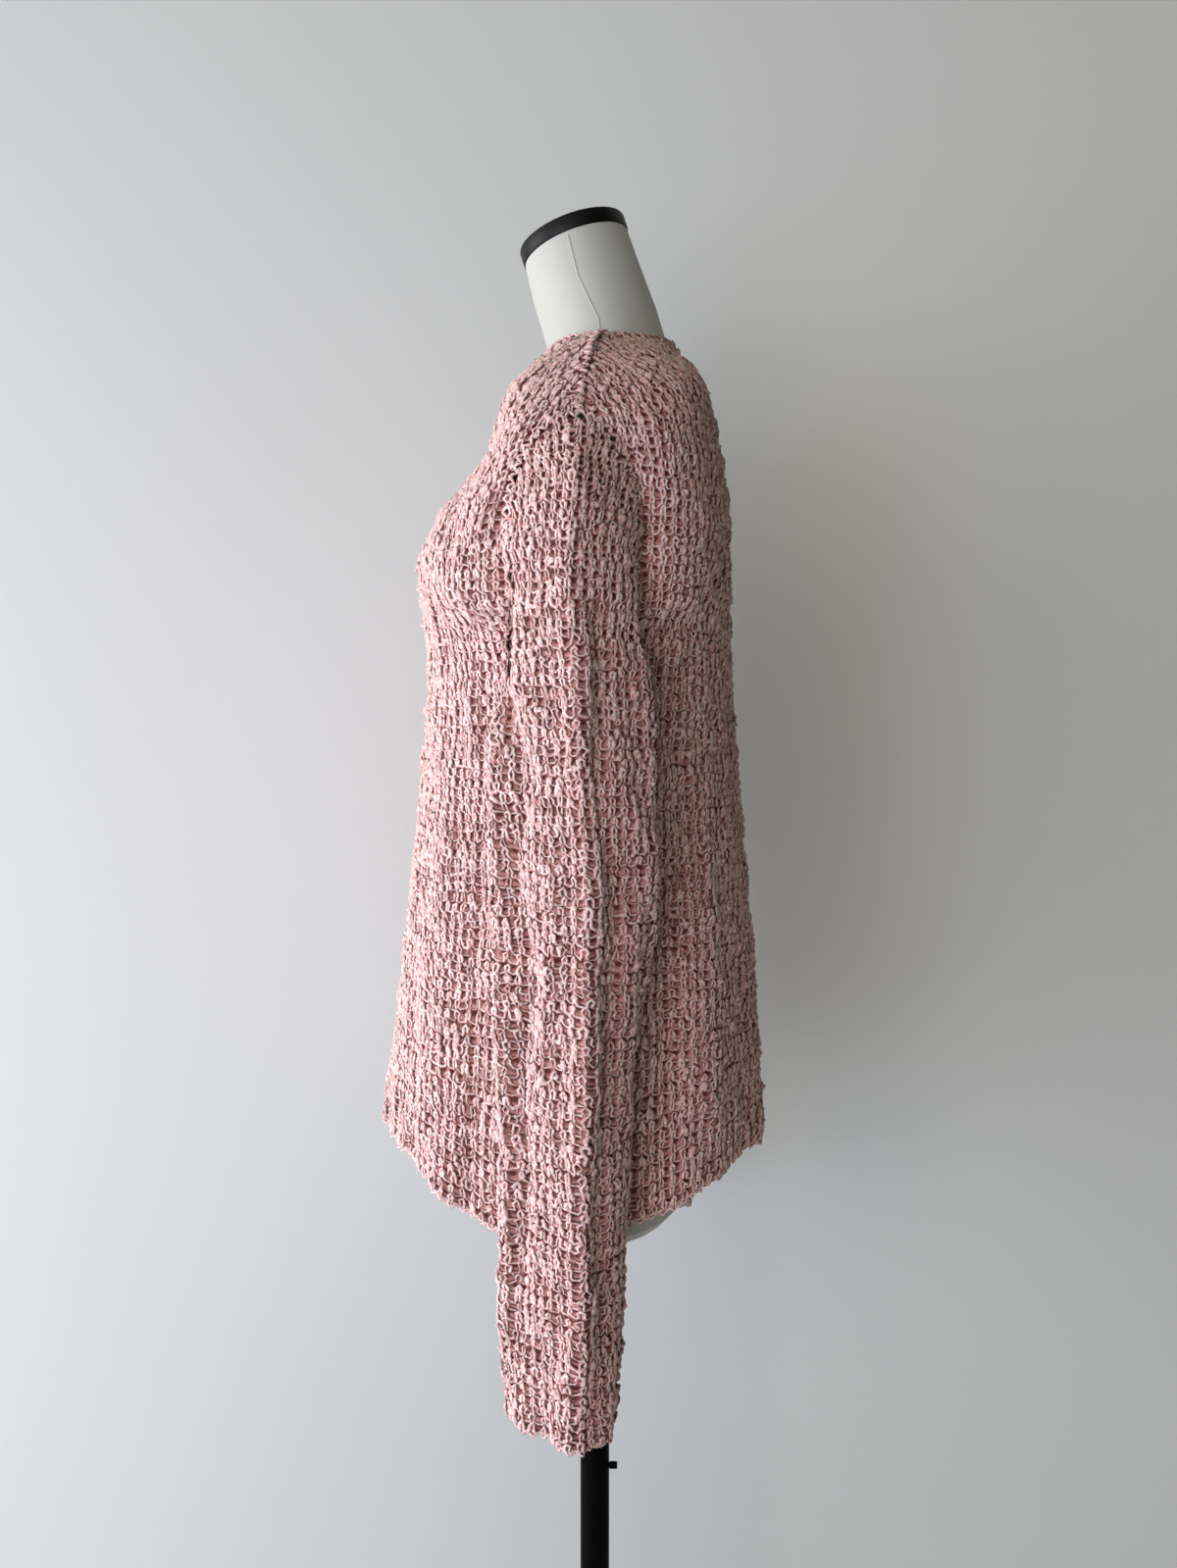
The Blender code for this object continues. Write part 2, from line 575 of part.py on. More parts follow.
def make_stand(black_steel, collection, cutters):
    """Disc base with a boss, outer and inner tube, and the clamp screw."""
    seat = OUTER_TUBE_RADIUS + TOUCH
    turned("base", (
        (0.0, BASE_FLOOR),
        (seat, BASE_FLOOR),
        (seat, BOSS_TOP),
        (BOSS_RADIUS, BOSS_TOP),
        (BOSS_RADIUS, BASE_THICKNESS),
        (BASE_RADIUS - BASE_EDGE, BASE_THICKNESS),
        (BASE_RADIUS, BASE_THICKNESS - BASE_EDGE),
        (BASE_RADIUS, 0.0),
        (0.0, 0.0),
    ), False, ROUND_STEPS, black_steel, collection)

    def tube(name, radius, bottom, top):
        bore = radius - TUBE_WALL
        profile = ((radius, top), (radius, bottom), (bore, bottom), (bore, top))
        return turned(name, profile, True, ROUND_STEPS, black_steel, collection)

    outer = tube("outer_tube", OUTER_TUBE_RADIUS, BASE_FLOOR + TOUCH, OUTER_TUBE_TOP)
    form_bottom = FORM_SECTIONS[0][0]
    tube("inner_tube", INNER_TUBE_RADIUS, INNER_TUBE_BOTTOM, form_bottom + SOCKET_DEPTH - TOUCH)

    bpy.ops.mesh.primitive_cylinder_add(
        vertices=SMALL_ROUND_STEPS,
        radius=SCREW_RADIUS + TOUCH,
        depth=OUTER_TUBE_RADIUS,
        location=(0.0, OUTER_TUBE_RADIUS, SCREW_Z),
        rotation=(math.pi / 2, 0.0, 0.0),
    )
    hole = bpy.context.object
    put_away(hole, "clamp_hole_cutter", cutters)
    cut = outer.modifiers.new("clamp hole", "BOOLEAN")
    cut.object = hole
    cut.operation = "DIFFERENCE"

    shank_end = INNER_TUBE_RADIUS + TOUCH
    head_start = OUTER_TUBE_RADIUS + 2 * TOUCH
    head_edge = SCREW_HEAD_RADIUS / 5
    screw = turned("clamp_screw", (
        (0.0, SCREW_REACH),
        (SCREW_HEAD_RADIUS - head_edge, SCREW_REACH),
        (SCREW_HEAD_RADIUS, SCREW_REACH - head_edge),
        (SCREW_HEAD_RADIUS, head_start),
        (SCREW_RADIUS, head_start),
        (SCREW_RADIUS, shank_end),
        (0.0, shank_end),
    ), False, SMALL_ROUND_STEPS, black_steel, collection)
    screw.location = (0.0, 0.0, SCREW_Z)
    screw.rotation_euler = (-math.pi / 2, 0.0, 0.0)  # the turning axis lies along +Y


def main():
    for obj in list(bpy.data.objects):
        bpy.data.objects.remove(obj)
    model = bpy.data.collections.new("ribbed_sweater_on_dress_form")
    cutters = bpy.data.collections.new("cutters")
    for collection in (model, cutters):
        bpy.context.scene.collection.children.link(collection)

    pink_yarn = new_material("pink_slub_knit", (0.69, 0.47, 0.46), 0.95)
    neck_cloth = new_material("white_form_cover", (0.80, 0.80, 0.77), 0.85)
    black_plastic = new_material("black_cap_plastic", (0.012, 0.012, 0.013), 0.35)
    black_steel = new_material("black_painted_steel", (0.006, 0.006, 0.007), 0.40, 0.1)

    make_stand(black_steel, model, cutters)
    make_form(neck_cloth, model, cutters)
    make_neck_cap(black_plastic, model)
    for name in ("front", "back"):
        make_panel(name, pink_yarn, model)
    for name, side in (("sleeve_left", 1), ("sleeve_right", -1)):
        make_sleeve(name, side, pink_yarn, model)


main()
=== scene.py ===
"""Looks of a ribbed sweater worn on a limbless dress form, laid out as an add-on.

Metres, +Z up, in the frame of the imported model. Each of the four knitted pieces is a thin cloth in
the shape of its solid, covered with its own yarn: course upon course of stitches in raised ribs,
with the bridges between two ribs lying deeper. The form and its stand keep their solids.
"""

import math

import bmesh
import bpy
import numpy as np
from bpy.props import FloatProperty, FloatVectorProperty, IntProperty, PointerProperty
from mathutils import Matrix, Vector
from mathutils.bvhtree import BVHTree
from mathutils.kdtree import KDTree


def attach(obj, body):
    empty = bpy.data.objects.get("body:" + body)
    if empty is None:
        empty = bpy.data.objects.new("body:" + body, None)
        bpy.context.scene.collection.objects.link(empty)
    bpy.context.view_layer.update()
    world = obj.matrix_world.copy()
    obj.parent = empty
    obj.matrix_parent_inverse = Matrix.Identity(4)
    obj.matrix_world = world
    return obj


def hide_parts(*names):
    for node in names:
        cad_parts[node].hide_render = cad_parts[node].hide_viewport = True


bl_info = {
    "name": "Ribbed Sweater on a Dress Form",
    "version": (1, 0, 0),
    "blender": (4, 5, 0),
    "location": "View3D > Sidebar > Sweater",
    "description": "Slub yarn rib knit, dress form, stand and a softly lit stage",
    "category": "Add Mesh",
}

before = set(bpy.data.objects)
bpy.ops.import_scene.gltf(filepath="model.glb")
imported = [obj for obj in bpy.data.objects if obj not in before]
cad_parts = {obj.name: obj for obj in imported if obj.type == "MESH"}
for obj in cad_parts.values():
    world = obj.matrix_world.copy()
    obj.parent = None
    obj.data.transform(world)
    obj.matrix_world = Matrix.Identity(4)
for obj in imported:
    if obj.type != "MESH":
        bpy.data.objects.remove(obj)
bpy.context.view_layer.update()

# --- shape of the cloth, as in the solids ------------------------------------------------------
SEAM_GAP = 0.0004
NECK_HALF_WIDTH = 0.088
NECK_SIDE_Y = 0.008
NECK_SIDE_Z = 1.366
SHOULDER_X = 0.200
SHOULDER_Y = -0.012
SHOULDER_Z = 1.275
SHOULDER_SLOPE = 0.30
UNDERARM_X = 0.187
UNDERARM_Z = 1.120
ARMHOLE_REACH = {"front": 0.050, "back": 0.041}

PANEL_COLUMNS = (
    "side_x", "armhole_angle", "side_z", "centre_y", "centre_z", "squareness", "rise", "rows",
)
PANEL_SECTIONS = {
    "front": (
        (0.188, None, 0.742, -0.1715, 0.742, 2.20, 2.0, 2),
        (0.188, None, 0.870, -0.1600, 0.870, 2.20, 2.0, 2),
        (0.188, None, 1.000, -0.1480, 1.000, 2.20, 2.0, 2),
        (0.187, -90.0, 1.120, -0.1395, 1.110, 2.25, 2.0, 2),
        (0.000, -38.0, 0.000, -0.1435, 1.198, 2.40, 2.0, 1),
        (0.000, -5.0, 0.000, -0.1235, 1.242, 2.60, 2.0, 1),
        (0.000, 30.0, 0.000, -0.0850, 1.286, 2.90, 2.0, 1),
        (0.000, 62.0, 0.000, -0.0620, 1.332, 3.00, 3.6, 2),
        (0.000, 90.0, 0.000, -0.0410, 1.370, 2.20, 0.0, 0),
    ),
    "back": (
        (0.188, None, 0.745, 0.1350, 0.745, 2.30, 2.0, 2),
        (0.188, None, 0.870, 0.1290, 0.870, 2.30, 2.0, 2),
        (0.188, None, 1.000, 0.1180, 1.000, 2.30, 2.0, 2),
        (0.187, -90.0, 1.120, 0.1095, 1.110, 2.40, 2.0, 2),
        (0.000, -38.0, 0.000, 0.1065, 1.200, 2.50, 2.0, 1),
        (0.000, -5.0, 0.000, 0.1035, 1.252, 2.60, 2.0, 1),
        (0.000, 30.0, 0.000, 0.0940, 1.298, 2.70, 2.2, 1),
        (0.000, 62.0, 0.000, 0.0800, 1.338, 2.60, 3.6, 2),
        (0.000, 90.0, 0.000, 0.0660, 1.3745, 2.20, 0.0, 0),
    ),
}
HEM_DIP = {"front": (0.036, 0.40, 0.85), "back": (0.029, 0.46, 0.95)}
HEM_BAND_TOP = 0.870

FOLD_COLUMNS = ("across", "width", "height", "fades_at_z")
PANEL_FOLDS = {
    "front": (
        (-0.62, 0.110, 0.0050, 1.08),
        (-0.20, 0.150, -0.0040, 1.00),
        (0.15, 0.120, 0.0045, 1.05),
        (0.55, 0.100, 0.0055, 1.10),
    ),
    "back": (
        (-0.66, 0.090, 0.0045, 1.06),
        (-0.34, 0.120, 0.0050, 1.12),
        (-0.04, 0.130, -0.0035, 1.04),
        (0.32, 0.150, 0.0160, 0.98),
        (0.70, 0.080, 0.0050, 1.00),
    ),
}

SLEEVE_COLUMNS = (
    "crease_x", "crease_y", "crease_z",
    "front_x", "front_y", "front_z",
    "back_x", "back_y", "back_z",
    "inner_x", "inner_z", "rows",
)
SLEEVE_SECTIONS = (
    (0.2335, -0.014, 1.226, 0.2140, -0.0600, 1.165, 0.2120, 0.0250, 1.165, 0.2010, 1.095, 1),
    (0.2430, -0.018, 1.165, 0.2130, -0.0630, 1.115, 0.2120, 0.0310, 1.115, 0.2005, 1.050, 2),
    (0.2490, -0.012, 1.050, 0.2120, -0.0705, 1.030, 0.2120, 0.0380, 1.030, 0.2000, 1.000, 1),
    (0.2490, -0.007, 0.950, 0.2120, -0.0685, 0.950, 0.2120, 0.0385, 0.950, 0.2000, 0.940, 2),
    (0.2490, -0.008, 0.850, 0.2120, -0.0670, 0.850, 0.2120, 0.0245, 0.850, 0.2010, 0.850, 2),
    (0.2490, -0.009, 0.720, 0.2120, -0.0655, 0.720, 0.2120, 0.0195, 0.720, 0.2010, 0.720, 2),
    (0.2490, -0.010, 0.592, 0.2120, -0.0640, 0.596, 0.2120, 0.0165, 0.592, 0.2020, 0.596, 0),
)
SLEEVE_HEAD_ROWS = 2
OUTER_ROUNDNESS = 0.30
INNER_ROUNDNESS = 0.75
SLEEVE_START = 0.0011  # how far outside the armhole a sleeve starts
SLEEVE_STANDOFF = 0.0042
RIGHT_SLEEVE_SWING = 0.085
RIGHT_SLEEVE_DROP = 0.022
SWING_TOP_Z, SWING_CURVE = 1.20, 1.3
CUFF_Z = 0.594
SEAM_HOLD = 8

# --- the form's cover --------------------------------------------------------------------------
# the side seam of the cover, as heights and how far back it lies there; it shows at neck and hip
COVER_SEAM = (
    (0.690, -0.006), (1.200, -0.006), (1.345, 0.006), (1.388, 0.0025), (1.4245, -0.0135),
    (1.4600, -0.0225),
)
COVER_SEAM_SHOWN = ((0.700, 0.800), (1.352, 1.4585))
COVER_SEAM_RADIUS = 0.0006
COVER_SEAM_POINTS = 40
OUTSIDE_X = 0.5  # well outside the form

# --- how finely the cloth is worked out --------------------------------------------------------
EDGE_SAMPLES = 240
FINER = 6  # lines of the surface for each band of the solid
RING_SPANS = 120  # points round a sleeve
PANEL_SPANS = 4  # points for each of a panel's ribs
WAVE_COUNT, WAVE_LENGTHS = 9, (0.35, 1.0)  # of the longest
MOST_RIBS = 0.6  # of a panel's ribs, to each side of a piece's middle
TILT_PASSES, TILT_WEIGHTS, LEAST_RISE = 8, (0.25, 0.5, 0.25), 1e-5

# --- finishes and stage ------------------------------------------------------------------------
ROUND_UP_TO = math.radians(32.0)  # edges under this angle are shaded round
MERGE_SOLID, MERGE_CLOTH = 0.00001, 0.00005
FIBRE_SPREAD = 1.4  # how much the yarn is shaded like its cloth, against its own relief
PAINTED_SIDE_SHADE_SHARE = 0.65  # of the painted shade, a deeper pink, on a strand's sides
SMOOTHER, ROUGHER = 0.08, 0.10  # how far a black finish's roughness goes down and up
PHOTO_SIZE = (1200, 1599)
SENSOR_WIDTH = 36.0
EYE_Y, CLIP_START = -0.0055, 0.05
ROOM_SIZE = (8.0, 5.0)  # length and height
WINDOW_SIDE = (0.42, -0.89, 0.18)  # where the room's light comes from
# each lamp's place, target, width, height and colour
LAMPS = {
    "window": ((0.15, -2.4, 0.92), (-0.1, 0.0, 0.96), 1.8, 2.0, (1.0, 0.99, 1.0)),
    "sky": ((2.0, -1.8, 0.55), (0.0, 0.0, 0.80), 2.0, 1.4, (0.48, 0.60, 1.0)),
    "fill": ((2.0, -0.7, 1.0), (0.0, 0.0, 1.05), 1.0, 1.0, (1.0, 0.92, 0.84)),
}

# --- the yarn ----------------------------------------------------------------------------------
# One stitch of a rib and the bridge to the next rib, by its points. Each is across, in ribs from
# the rib's middle; up, in rows from the course's line; out, in rib heights above the ground; and
# as thick as this many times the yarn.
STITCH = (
    (-0.27, -0.20, 0.05, 1.10),
    (-0.12, 0.10, 0.85, 1.15),
    (-0.21, 0.54, 1.00, 1.38),
    (0.00, 0.90, 0.85, 1.20),
    (0.21, 0.54, 1.00, 1.38),
    (0.12, 0.10, 0.85, 1.15),
    (0.27, -0.20, 0.05, 1.10),
)

# how far the stitches of a piece drift together: aside in ribs and up in rows, over so many
DRIFT_ASIDE, DRIFT_ASIDE_OVER = 0.10, 6.0
DRIFT_UP, DRIFT_UP_OVER = 0.16, 7.0
DRIFT_UP_STARTS = (-1.0, 4.0)  # rows over which it sets in, as the first keeps to the hem or cuff
ROW_LEAN = 0.06  # ribs by which every other row lies to one side
# how far single points stray: across in ribs, up in rows, out in metres, and in thickness
STRAY_ACROSS, STRAY_UP, STRAY_OUT, STRAY_THICK = 0.045, 0.10, 0.00016, 0.20
STITCH_SPREAD, STITCH_LIMITS = 0.16, (0.6, 1.6)  # how much plumper one stitch is than another
THICK_LIMITS = (0.50, 2.3)  # times the yarn
EDGE_GAP = 0.3  # ribs between the last stitch's middle and the piece's side
SLUB_SIZES, SLUB_LIFT = (0.45, 1.25), 0.8  # added to the yarn's thickness; yarn radii
SLUB_REACH = (1, 3)  # from 1 to under 3 points on each side
# a curl's place strays this far; its size is in yarn radii, and its corners are uneven
CURL_STRAY, CURL_SIZE, CURL_SIZES, CURL_CORNERS = 0.00045, 1.25, (0.85, 1.25), (0.75, 1.35)
# the yarn that rounds off each rib at its end: rows down, lift in metres, times the yarn
SCALLOPS = ((-0.42, 0.0012, 1.15), (-0.10, 0.0002, 1.0))
SCALLOP_STEP = 1 / 6  # ribs
SCALLOP_UP, SCALLOP_ACROSS, SCALLOP_THICK = 0.06, 0.05, 0.2  # how far its points stray
# yarn that winds along an edge: its swing to both sides and its lift in metres, times the yarn
SLEEVE_TOP_YARN = ((0.0022, 0.0006, 1.05), (0.0022, 0.0014, 1.05))
NECK_YARN = ((0.0006, 0.0004, 1.10), (0.0013, 0.0012, 1.10))
SHOULDER_YARN = ((0.0030, 0.0004, 1.05), (0.0030, 0.0014, 1.05))
# how far this yarn turns upwards as well as outwards: a height in metres, and a slope
NECK_LEAN, SLEEVE_TOP_LEAN = 0.060, 0.25
# its points: so many for each rib of a sleeve, and at least so many
EDGE_POINTS, FEWEST_EDGE_POINTS = 4, 8
# its unevenness: strays aside, rises and falls, turns ahead or behind over so many points, and
# thickens
WIND_STRAY, WIND_LIFT, WIND_DRIFT, WIND_OVER = 0.0004, 0.0005, 0.5, 6
WIND_THICK, WIND_LIMITS = 0.22, (0.6, 1.7)
# how deep the thin cloth lies under the yarn, and its thickness
GROUND_DEPTH, CLOTH_THICKNESS = 0.0010, 0.0007

PIECES = ("front", "back", "sleeve_left", "sleeve_right")

# --- creases of the cloth ----------------------------------------------------------------------
UNEVEN = ((0.0007, 0.060), (0.0005, 0.025))  # all over: height, over so many metres
FLUTE, FLUTE_OVER, FLUTE_HEIGHT = 0.0020, 0.075, 0.080  # of the free edge
# Over the chest the front lies this much closer than its solid, save for this share of its sides,
# and fades to nothing this far under the height.
CHEST_EASE, CHEST_EASE_SIDE, CHEST_EASE_FADE, CHEST_EASE_TOP_Z = 0.0040, 0.35, 0.06, 1.350
CHEST_STRETCH, CHEST_STRETCH_Z = 0.05, 1.20
CREASE_FADE = (0.02, 0.06)  # how far a crease fades out past its ends, and within them
CREASE_SWAY, CREASE_SWAY_OVER = 0.5, 0.30  # in widths, over so many metres
CREASE_DEPTH = {  # times the heights below
    "front": 1.3, "back": 1.7, "sleeve_left": 2.8, "sleeve_right": 2.4,
}
# Soft ridges (height over 0) and troughs (under 0), each from one place to another. All are in
# millimetres: across from the piece's middle line, as its outer side is seen, and up from its hem
# or cuff.
CREASE_COLUMNS = ("start_across", "start_up", "end_across", "end_up", "width", "height")
CREASES = {
    "sleeve_left": (
        (0, 10, 0, 560, 7, 2.2),
        (-22, 50, -24, 420, 6, 1.4),
        (-47, 60, -51, 580, 7.5, -2.5),
        (-63, 20, -66, 520, 7, 1.6),
        (15, 30, 17, 560, 6.5, -1.8),
        (34, 150, 34, 480, 8, 1.5),
        (50, 260, 52, 540, 7, 1.8),
        (-30, 430, 20, 455, 8, -1.6),
        (-50, 300, -10, 330, 10, 1.2),
    ),
    "sleeve_right": (
        (0, 20, 0, 540, 7, 2.2),
        (24, 80, 26, 460, 6, 1.4),
        (42, 60, 46, 580, 9, -1.6),
        (58, 30, 60, 430, 8, 1.6),
        (-15, 90, -16, 520, 6, -2),
        (-36, 180, -34, 500, 8, 1.5),
        (30, 400, -20, 440, 8, -1.6),
    ),
    "front": (
        (-230, 20, -225, 300, 11, 2),
        (-195, 50, -180, 360, 10, -2),
        (-160, 10, -150, 250, 12, 1.8),
        (232, 30, 228, 330, 11, 2),
        (200, 20, 178, 380, 11, -2.2),
        (164, 40, 146, 300, 12, 2),
        (120, 20, 105, 200, 14, -1.6),
        (215, 420, 150, 480, 12, -1.8),
        (-215, 425, -150, 470, 12, -1.8),
        (20, 30, 15, 240, 14, 1.8),
        (-70, 50, -60, 260, 13, -1.8),
    ),
    "back": (
        (-235, 20, -225, 200, 11, 0.8),
        (-203, 10, -190, 400, 12, -3.6),
        (-170, 20, -160, 260, 11, 2),
        (-125, 40, -120, 190, 14, -1.8),
        (228, 30, 215, 260, 11, 2),
        (190, 20, 180, 320, 12, -2.2),
        (140, 30, 140, 240, 13, 2),
        (-200, 400, -120, 430, 13, -1.8),
        (205, 395, 130, 435, 13, -1.8),
    ),
}


# --- shared helpers ----------------------------------------------------------------------------
def steps_between(points, along=0):
    """Distances between the points that follow one another, along a run or one way of a net."""
    return np.linalg.norm(np.diff(points, axis=along), axis=-1)


def travelled(points, along=0):
    """How far along its run each point is."""
    way = np.cumsum(steps_between(points, along), axis=along)
    return np.concatenate([0.0 * way.take([0], along), way], axis=along)


def read_at(wanted, places, points):
    """What lies at the wanted places of a run whose points are at the given places."""
    return np.stack([np.interp(wanted, places, points[:, axis]) for axis in range(3)], axis=1)


def spaced(points, count):
    """The open run of points, spaced evenly along its length with count spans."""
    points = np.asarray(points, float)
    places = travelled(points)
    return read_at(np.linspace(0.0, places[-1], count + 1), places, points)


def smooth_through(stations, rows):
    """Smooth curves through the matching points of the stations, cut into bands."""
    gaps = [np.linalg.norm(b - a, axis=1).mean() for a, b in zip(stations, stations[1:])]
    at = np.concatenate([[0.0], np.cumsum(gaps)])
    slopes = []
    for i in range(len(stations)):
        before = max(i - 1, 0)
        after = min(i + 1, len(stations) - 1)
        slopes.append((stations[after] - stations[before]) / (at[after] - at[before]))
    lines = []
    for i, count in enumerate(rows):
        span = at[i + 1] - at[i]
        for t in np.arange(count) / count:
            lines.append(
                (2 * t**3 - 3 * t**2 + 1) * stations[i]
                + (t**3 - 2 * t**2 + t) * span * slopes[i]
                + (3 * t**2 - 2 * t**3) * stations[i + 1]
                + (t**3 - t**2) * span * slopes[i + 1]
            )
    lines.append(stations[-1])
    return np.array(lines)


def ramp(value, low, high):
    """0 below low, 1 above high, and a smooth rise between them."""
    t = np.clip((value - low) / (high - low), 0.0, 1.0)
    return t * t * (3.0 - 2.0 * t)


def unit(vectors):
    return vectors / np.linalg.norm(vectors, axis=-1, keepdims=True)


def net_normals(net, closed):
    """Unit normals of a net, along across x up."""
    if closed:
        across = np.roll(net, -1, axis=1) - np.roll(net, 1, axis=1)
    else:
        across = np.gradient(net, axis=1)
    return unit(np.cross(across, np.gradient(net, axis=0)))


def waves(rng, a, b, longest, count=WAVE_COUNT):
    """A smooth random field over two coordinates, about 1 high, from waves of many directions."""
    total = np.zeros(np.broadcast(a, b).shape)
    for _ in range(count):
        turn = rng.uniform(0.0, 2 * math.pi)
        pace = 2 * math.pi / (longest * rng.uniform(*WAVE_LENGTHS))
        start = rng.uniform(0.0, 2 * math.pi)
        total += np.sin(pace * (a * math.cos(turn) + b * math.sin(turn)) + start)
    return total / math.sqrt(count / 2)


def smooth_noise(rng, count, reach):
    """count random values about 0 that change gradually over reach steps."""
    kernel = np.hanning(2 * reach + 1)
    raw = rng.standard_normal(count + 2 * reach)
    return np.convolve(raw, kernel / np.linalg.norm(kernel), "valid")


# --- surfaces of the knitted pieces ------------------------------------------------------------
def armhole_point(angle, name):
    rise = (1.0 + math.sin(math.radians(angle))) / 2
    facing = -1 if name == "front" else 1
    return np.array([
        UNDERARM_X + (SHOULDER_X - UNDERARM_X) * rise,
        SHOULDER_Y + facing * ARMHOLE_REACH[name] * math.cos(math.radians(angle)),
        UNDERARM_Z + (SHOULDER_Z - UNDERARM_Z) * rise,
    ])


def half_section(row, name):
    """Half of a panel's section, from its side to the centre line, at +X."""
    if row["armhole_angle"] is None:
        side = np.array([row["side_x"], SHOULDER_Y, row["side_z"]])
    else:
        side = armhole_point(row["armhole_angle"], name)
    turn = np.linspace(0.0, math.pi / 2, EDGE_SAMPLES)
    out = np.cos(turn) ** (2.0 / row["squareness"])
    forward = np.sin(turn) ** (2.0 / row["squareness"])
    return np.stack([
        side[0] * out,
        side[1] + (row["centre_y"] - side[1]) * forward,
        side[2] + (row["centre_z"] - side[2]) * (1.0 - out ** row["rise"]),
    ], axis=1)


def shoulder_line(t, offset=0.0):
    """Points of the shoulder seam at +X; t is 0 at the sleeve and 1 at the neck."""
    out = 1.0 - t
    straight = SHOULDER_SLOPE * (SHOULDER_X - NECK_HALF_WIDTH)
    return np.stack([
        SHOULDER_X + (NECK_HALF_WIDTH - SHOULDER_X) * t,
        SHOULDER_Y + (NECK_SIDE_Y - SHOULDER_Y) * t + offset,
        NECK_SIDE_Z - straight * out - (NECK_SIDE_Z - SHOULDER_Z - straight) * out**3,
    ], axis=1)


def neckline(t, name, offset=0.0):
    """Points of the neckline at +X; t is 0 at the side of the neck and 1 at the centre line."""
    row = dict(zip(PANEL_COLUMNS, PANEL_SECTIONS[name][-1]))
    turn = t * math.pi / 2
    power = 2.0 / row["squareness"]
    side_y = NECK_SIDE_Y + offset
    return np.stack([
        NECK_HALF_WIDTH * np.cos(turn) ** power,
        side_y + (row["centre_y"] - side_y) * np.sin(turn) ** power,
        NECK_SIDE_Z + (row["centre_z"] - NECK_SIDE_Z) * np.sin(turn) ** 2,
    ], axis=1)


def hang(net, name):
    """A panel's net with the hem's dip and the soft folds added."""
    net = net.copy()
    depth, start, end = HEM_DIP[name]
    across = np.linspace(-1.0, 1.0, net.shape[1])
    low = net[0, :, 2].copy()
    dip = depth * ramp(np.abs(across), start, end)
    net[:, :, 2] -= dip * np.clip(1.0 - (net[:, :, 2] - low) / (HEM_BAND_TOP - low), 0.0, 1.0)
    normals = net_normals(net, closed=False)
    for values in PANEL_FOLDS[name]:
        fold = dict(zip(FOLD_COLUMNS, values))
        form = np.exp(-(((across - fold["across"]) / fold["width"]) ** 2))
        strength = 1.0 - ramp(net[:, :, 2], low.min(), fold["fades_at_z"])
        keep = 1.0 - np.abs(across) ** SEAM_HOLD
        net += normals * (fold["height"] * form * strength * keep)[:, :, None]
    return net


def panel_net(name, spans):
    """The front or the back before its hem dips: lines of points from the hem to the top."""
    facing = -1 if name == "front" else 1
    seam = facing * SEAM_GAP
    rows = [dict(zip(PANEL_COLUMNS, section)) for section in PANEL_SECTIONS[name]]
    stations = []
    for row in rows:
        if row["armhole_angle"] == 90.0:
            t = np.linspace(0.0, 1.0, EDGE_SAMPLES)
            half = np.concatenate([shoulder_line(t, seam), neckline(t[1:], name, seam)])
        else:
            half = half_section(row, name)
        whole = np.concatenate([half, half[-2::-1] * (-1.0, 1.0, 1.0)])
        stations.append(spaced(whole[::facing], spans))
    net = smooth_through(stations, [row["rows"] * FINER for row in rows[:-1]])
    across = np.abs(np.linspace(-1.0, 1.0, spans + 1))
    for line in np.flatnonzero(net[:, 0, 2] <= UNDERARM_Z + SEAM_GAP):
        net[line, :, 1] += (SHOULDER_Y + seam - net[line, 0, 1]) * across**SEAM_HOLD
    return net


def quarter(start, end, middle, roundness):
    """A quarter of a ring from start to end, between a straight run and an elliptical one."""
    t = np.linspace(0.0, 1.0, EDGE_SAMPLES)[:, None]
    turn = t * math.pi / 2
    elliptical = middle + (start - middle) * np.cos(turn) + (end - middle) * np.sin(turn)
    return (start * (1.0 - t) + end * t) * (1.0 - roundness) + elliptical * roundness


def sleeve_ring(row):
    """One section of the left sleeve, from its crease round the front, the inside and the back."""
    crease, front, back = (
        np.array([row[f"{fold}_{axis}"] for axis in "xyz"]) for fold in ("crease", "front", "back")
    )
    middle = (front + back) / 2
    inner = np.array([row["inner_x"], middle[1], row["inner_z"]])
    run = np.concatenate([
        quarter(crease, front, middle, OUTER_ROUNDNESS),
        quarter(front, inner, middle, INNER_ROUNDNESS)[1:],
        quarter(inner, back, middle, INNER_ROUNDNESS)[1:],
        quarter(back, crease, middle, OUTER_ROUNDNESS)[1:],
    ])
    return spaced(run, RING_SPANS)[:-1]


def armhole_ring():
    """The left sleeve's upper edge, from the shoulder round the front."""
    run = []
    for turn in np.linspace(0.0, 360.0, 2 * EDGE_SAMPLES + 1):
        name = "front" if turn <= 180.0 else "back"
        angle = 90.0 - turn if turn <= 180.0 else turn - 270.0
        point = armhole_point(angle, name)
        point[0] += SLEEVE_START + SLEEVE_STANDOFF * (1.0 - math.sin(math.radians(angle))) / 2
        run.append(point)
    return spaced(np.array(run), RING_SPANS)[:-1]


def sleeve_net(side):
    """A sleeve's surface, as rings from the armhole to the cuff that start at the crease."""
    rows = [dict(zip(SLEEVE_COLUMNS, section)) for section in SLEEVE_SECTIONS]
    stations = [armhole_ring()] + [sleeve_ring(row) for row in rows]
    bands = [SLEEVE_HEAD_ROWS] + [row["rows"] for row in rows[:-1]]
    net = smooth_through(stations, [band * FINER for band in bands])
    if side < 0:
        net = np.roll(net[:, ::-1], 1, axis=1) * (-1.0, 1.0, 1.0)
        fall = np.clip((SWING_TOP_Z - net[:, :, 2]) / (SWING_TOP_Z - CUFF_Z), 0.0, None)
        net[:, :, 1] += RIGHT_SLEEVE_SWING * fall**SWING_CURVE
        net[:, :, 2] -= RIGHT_SLEEVE_DROP * fall
    return net


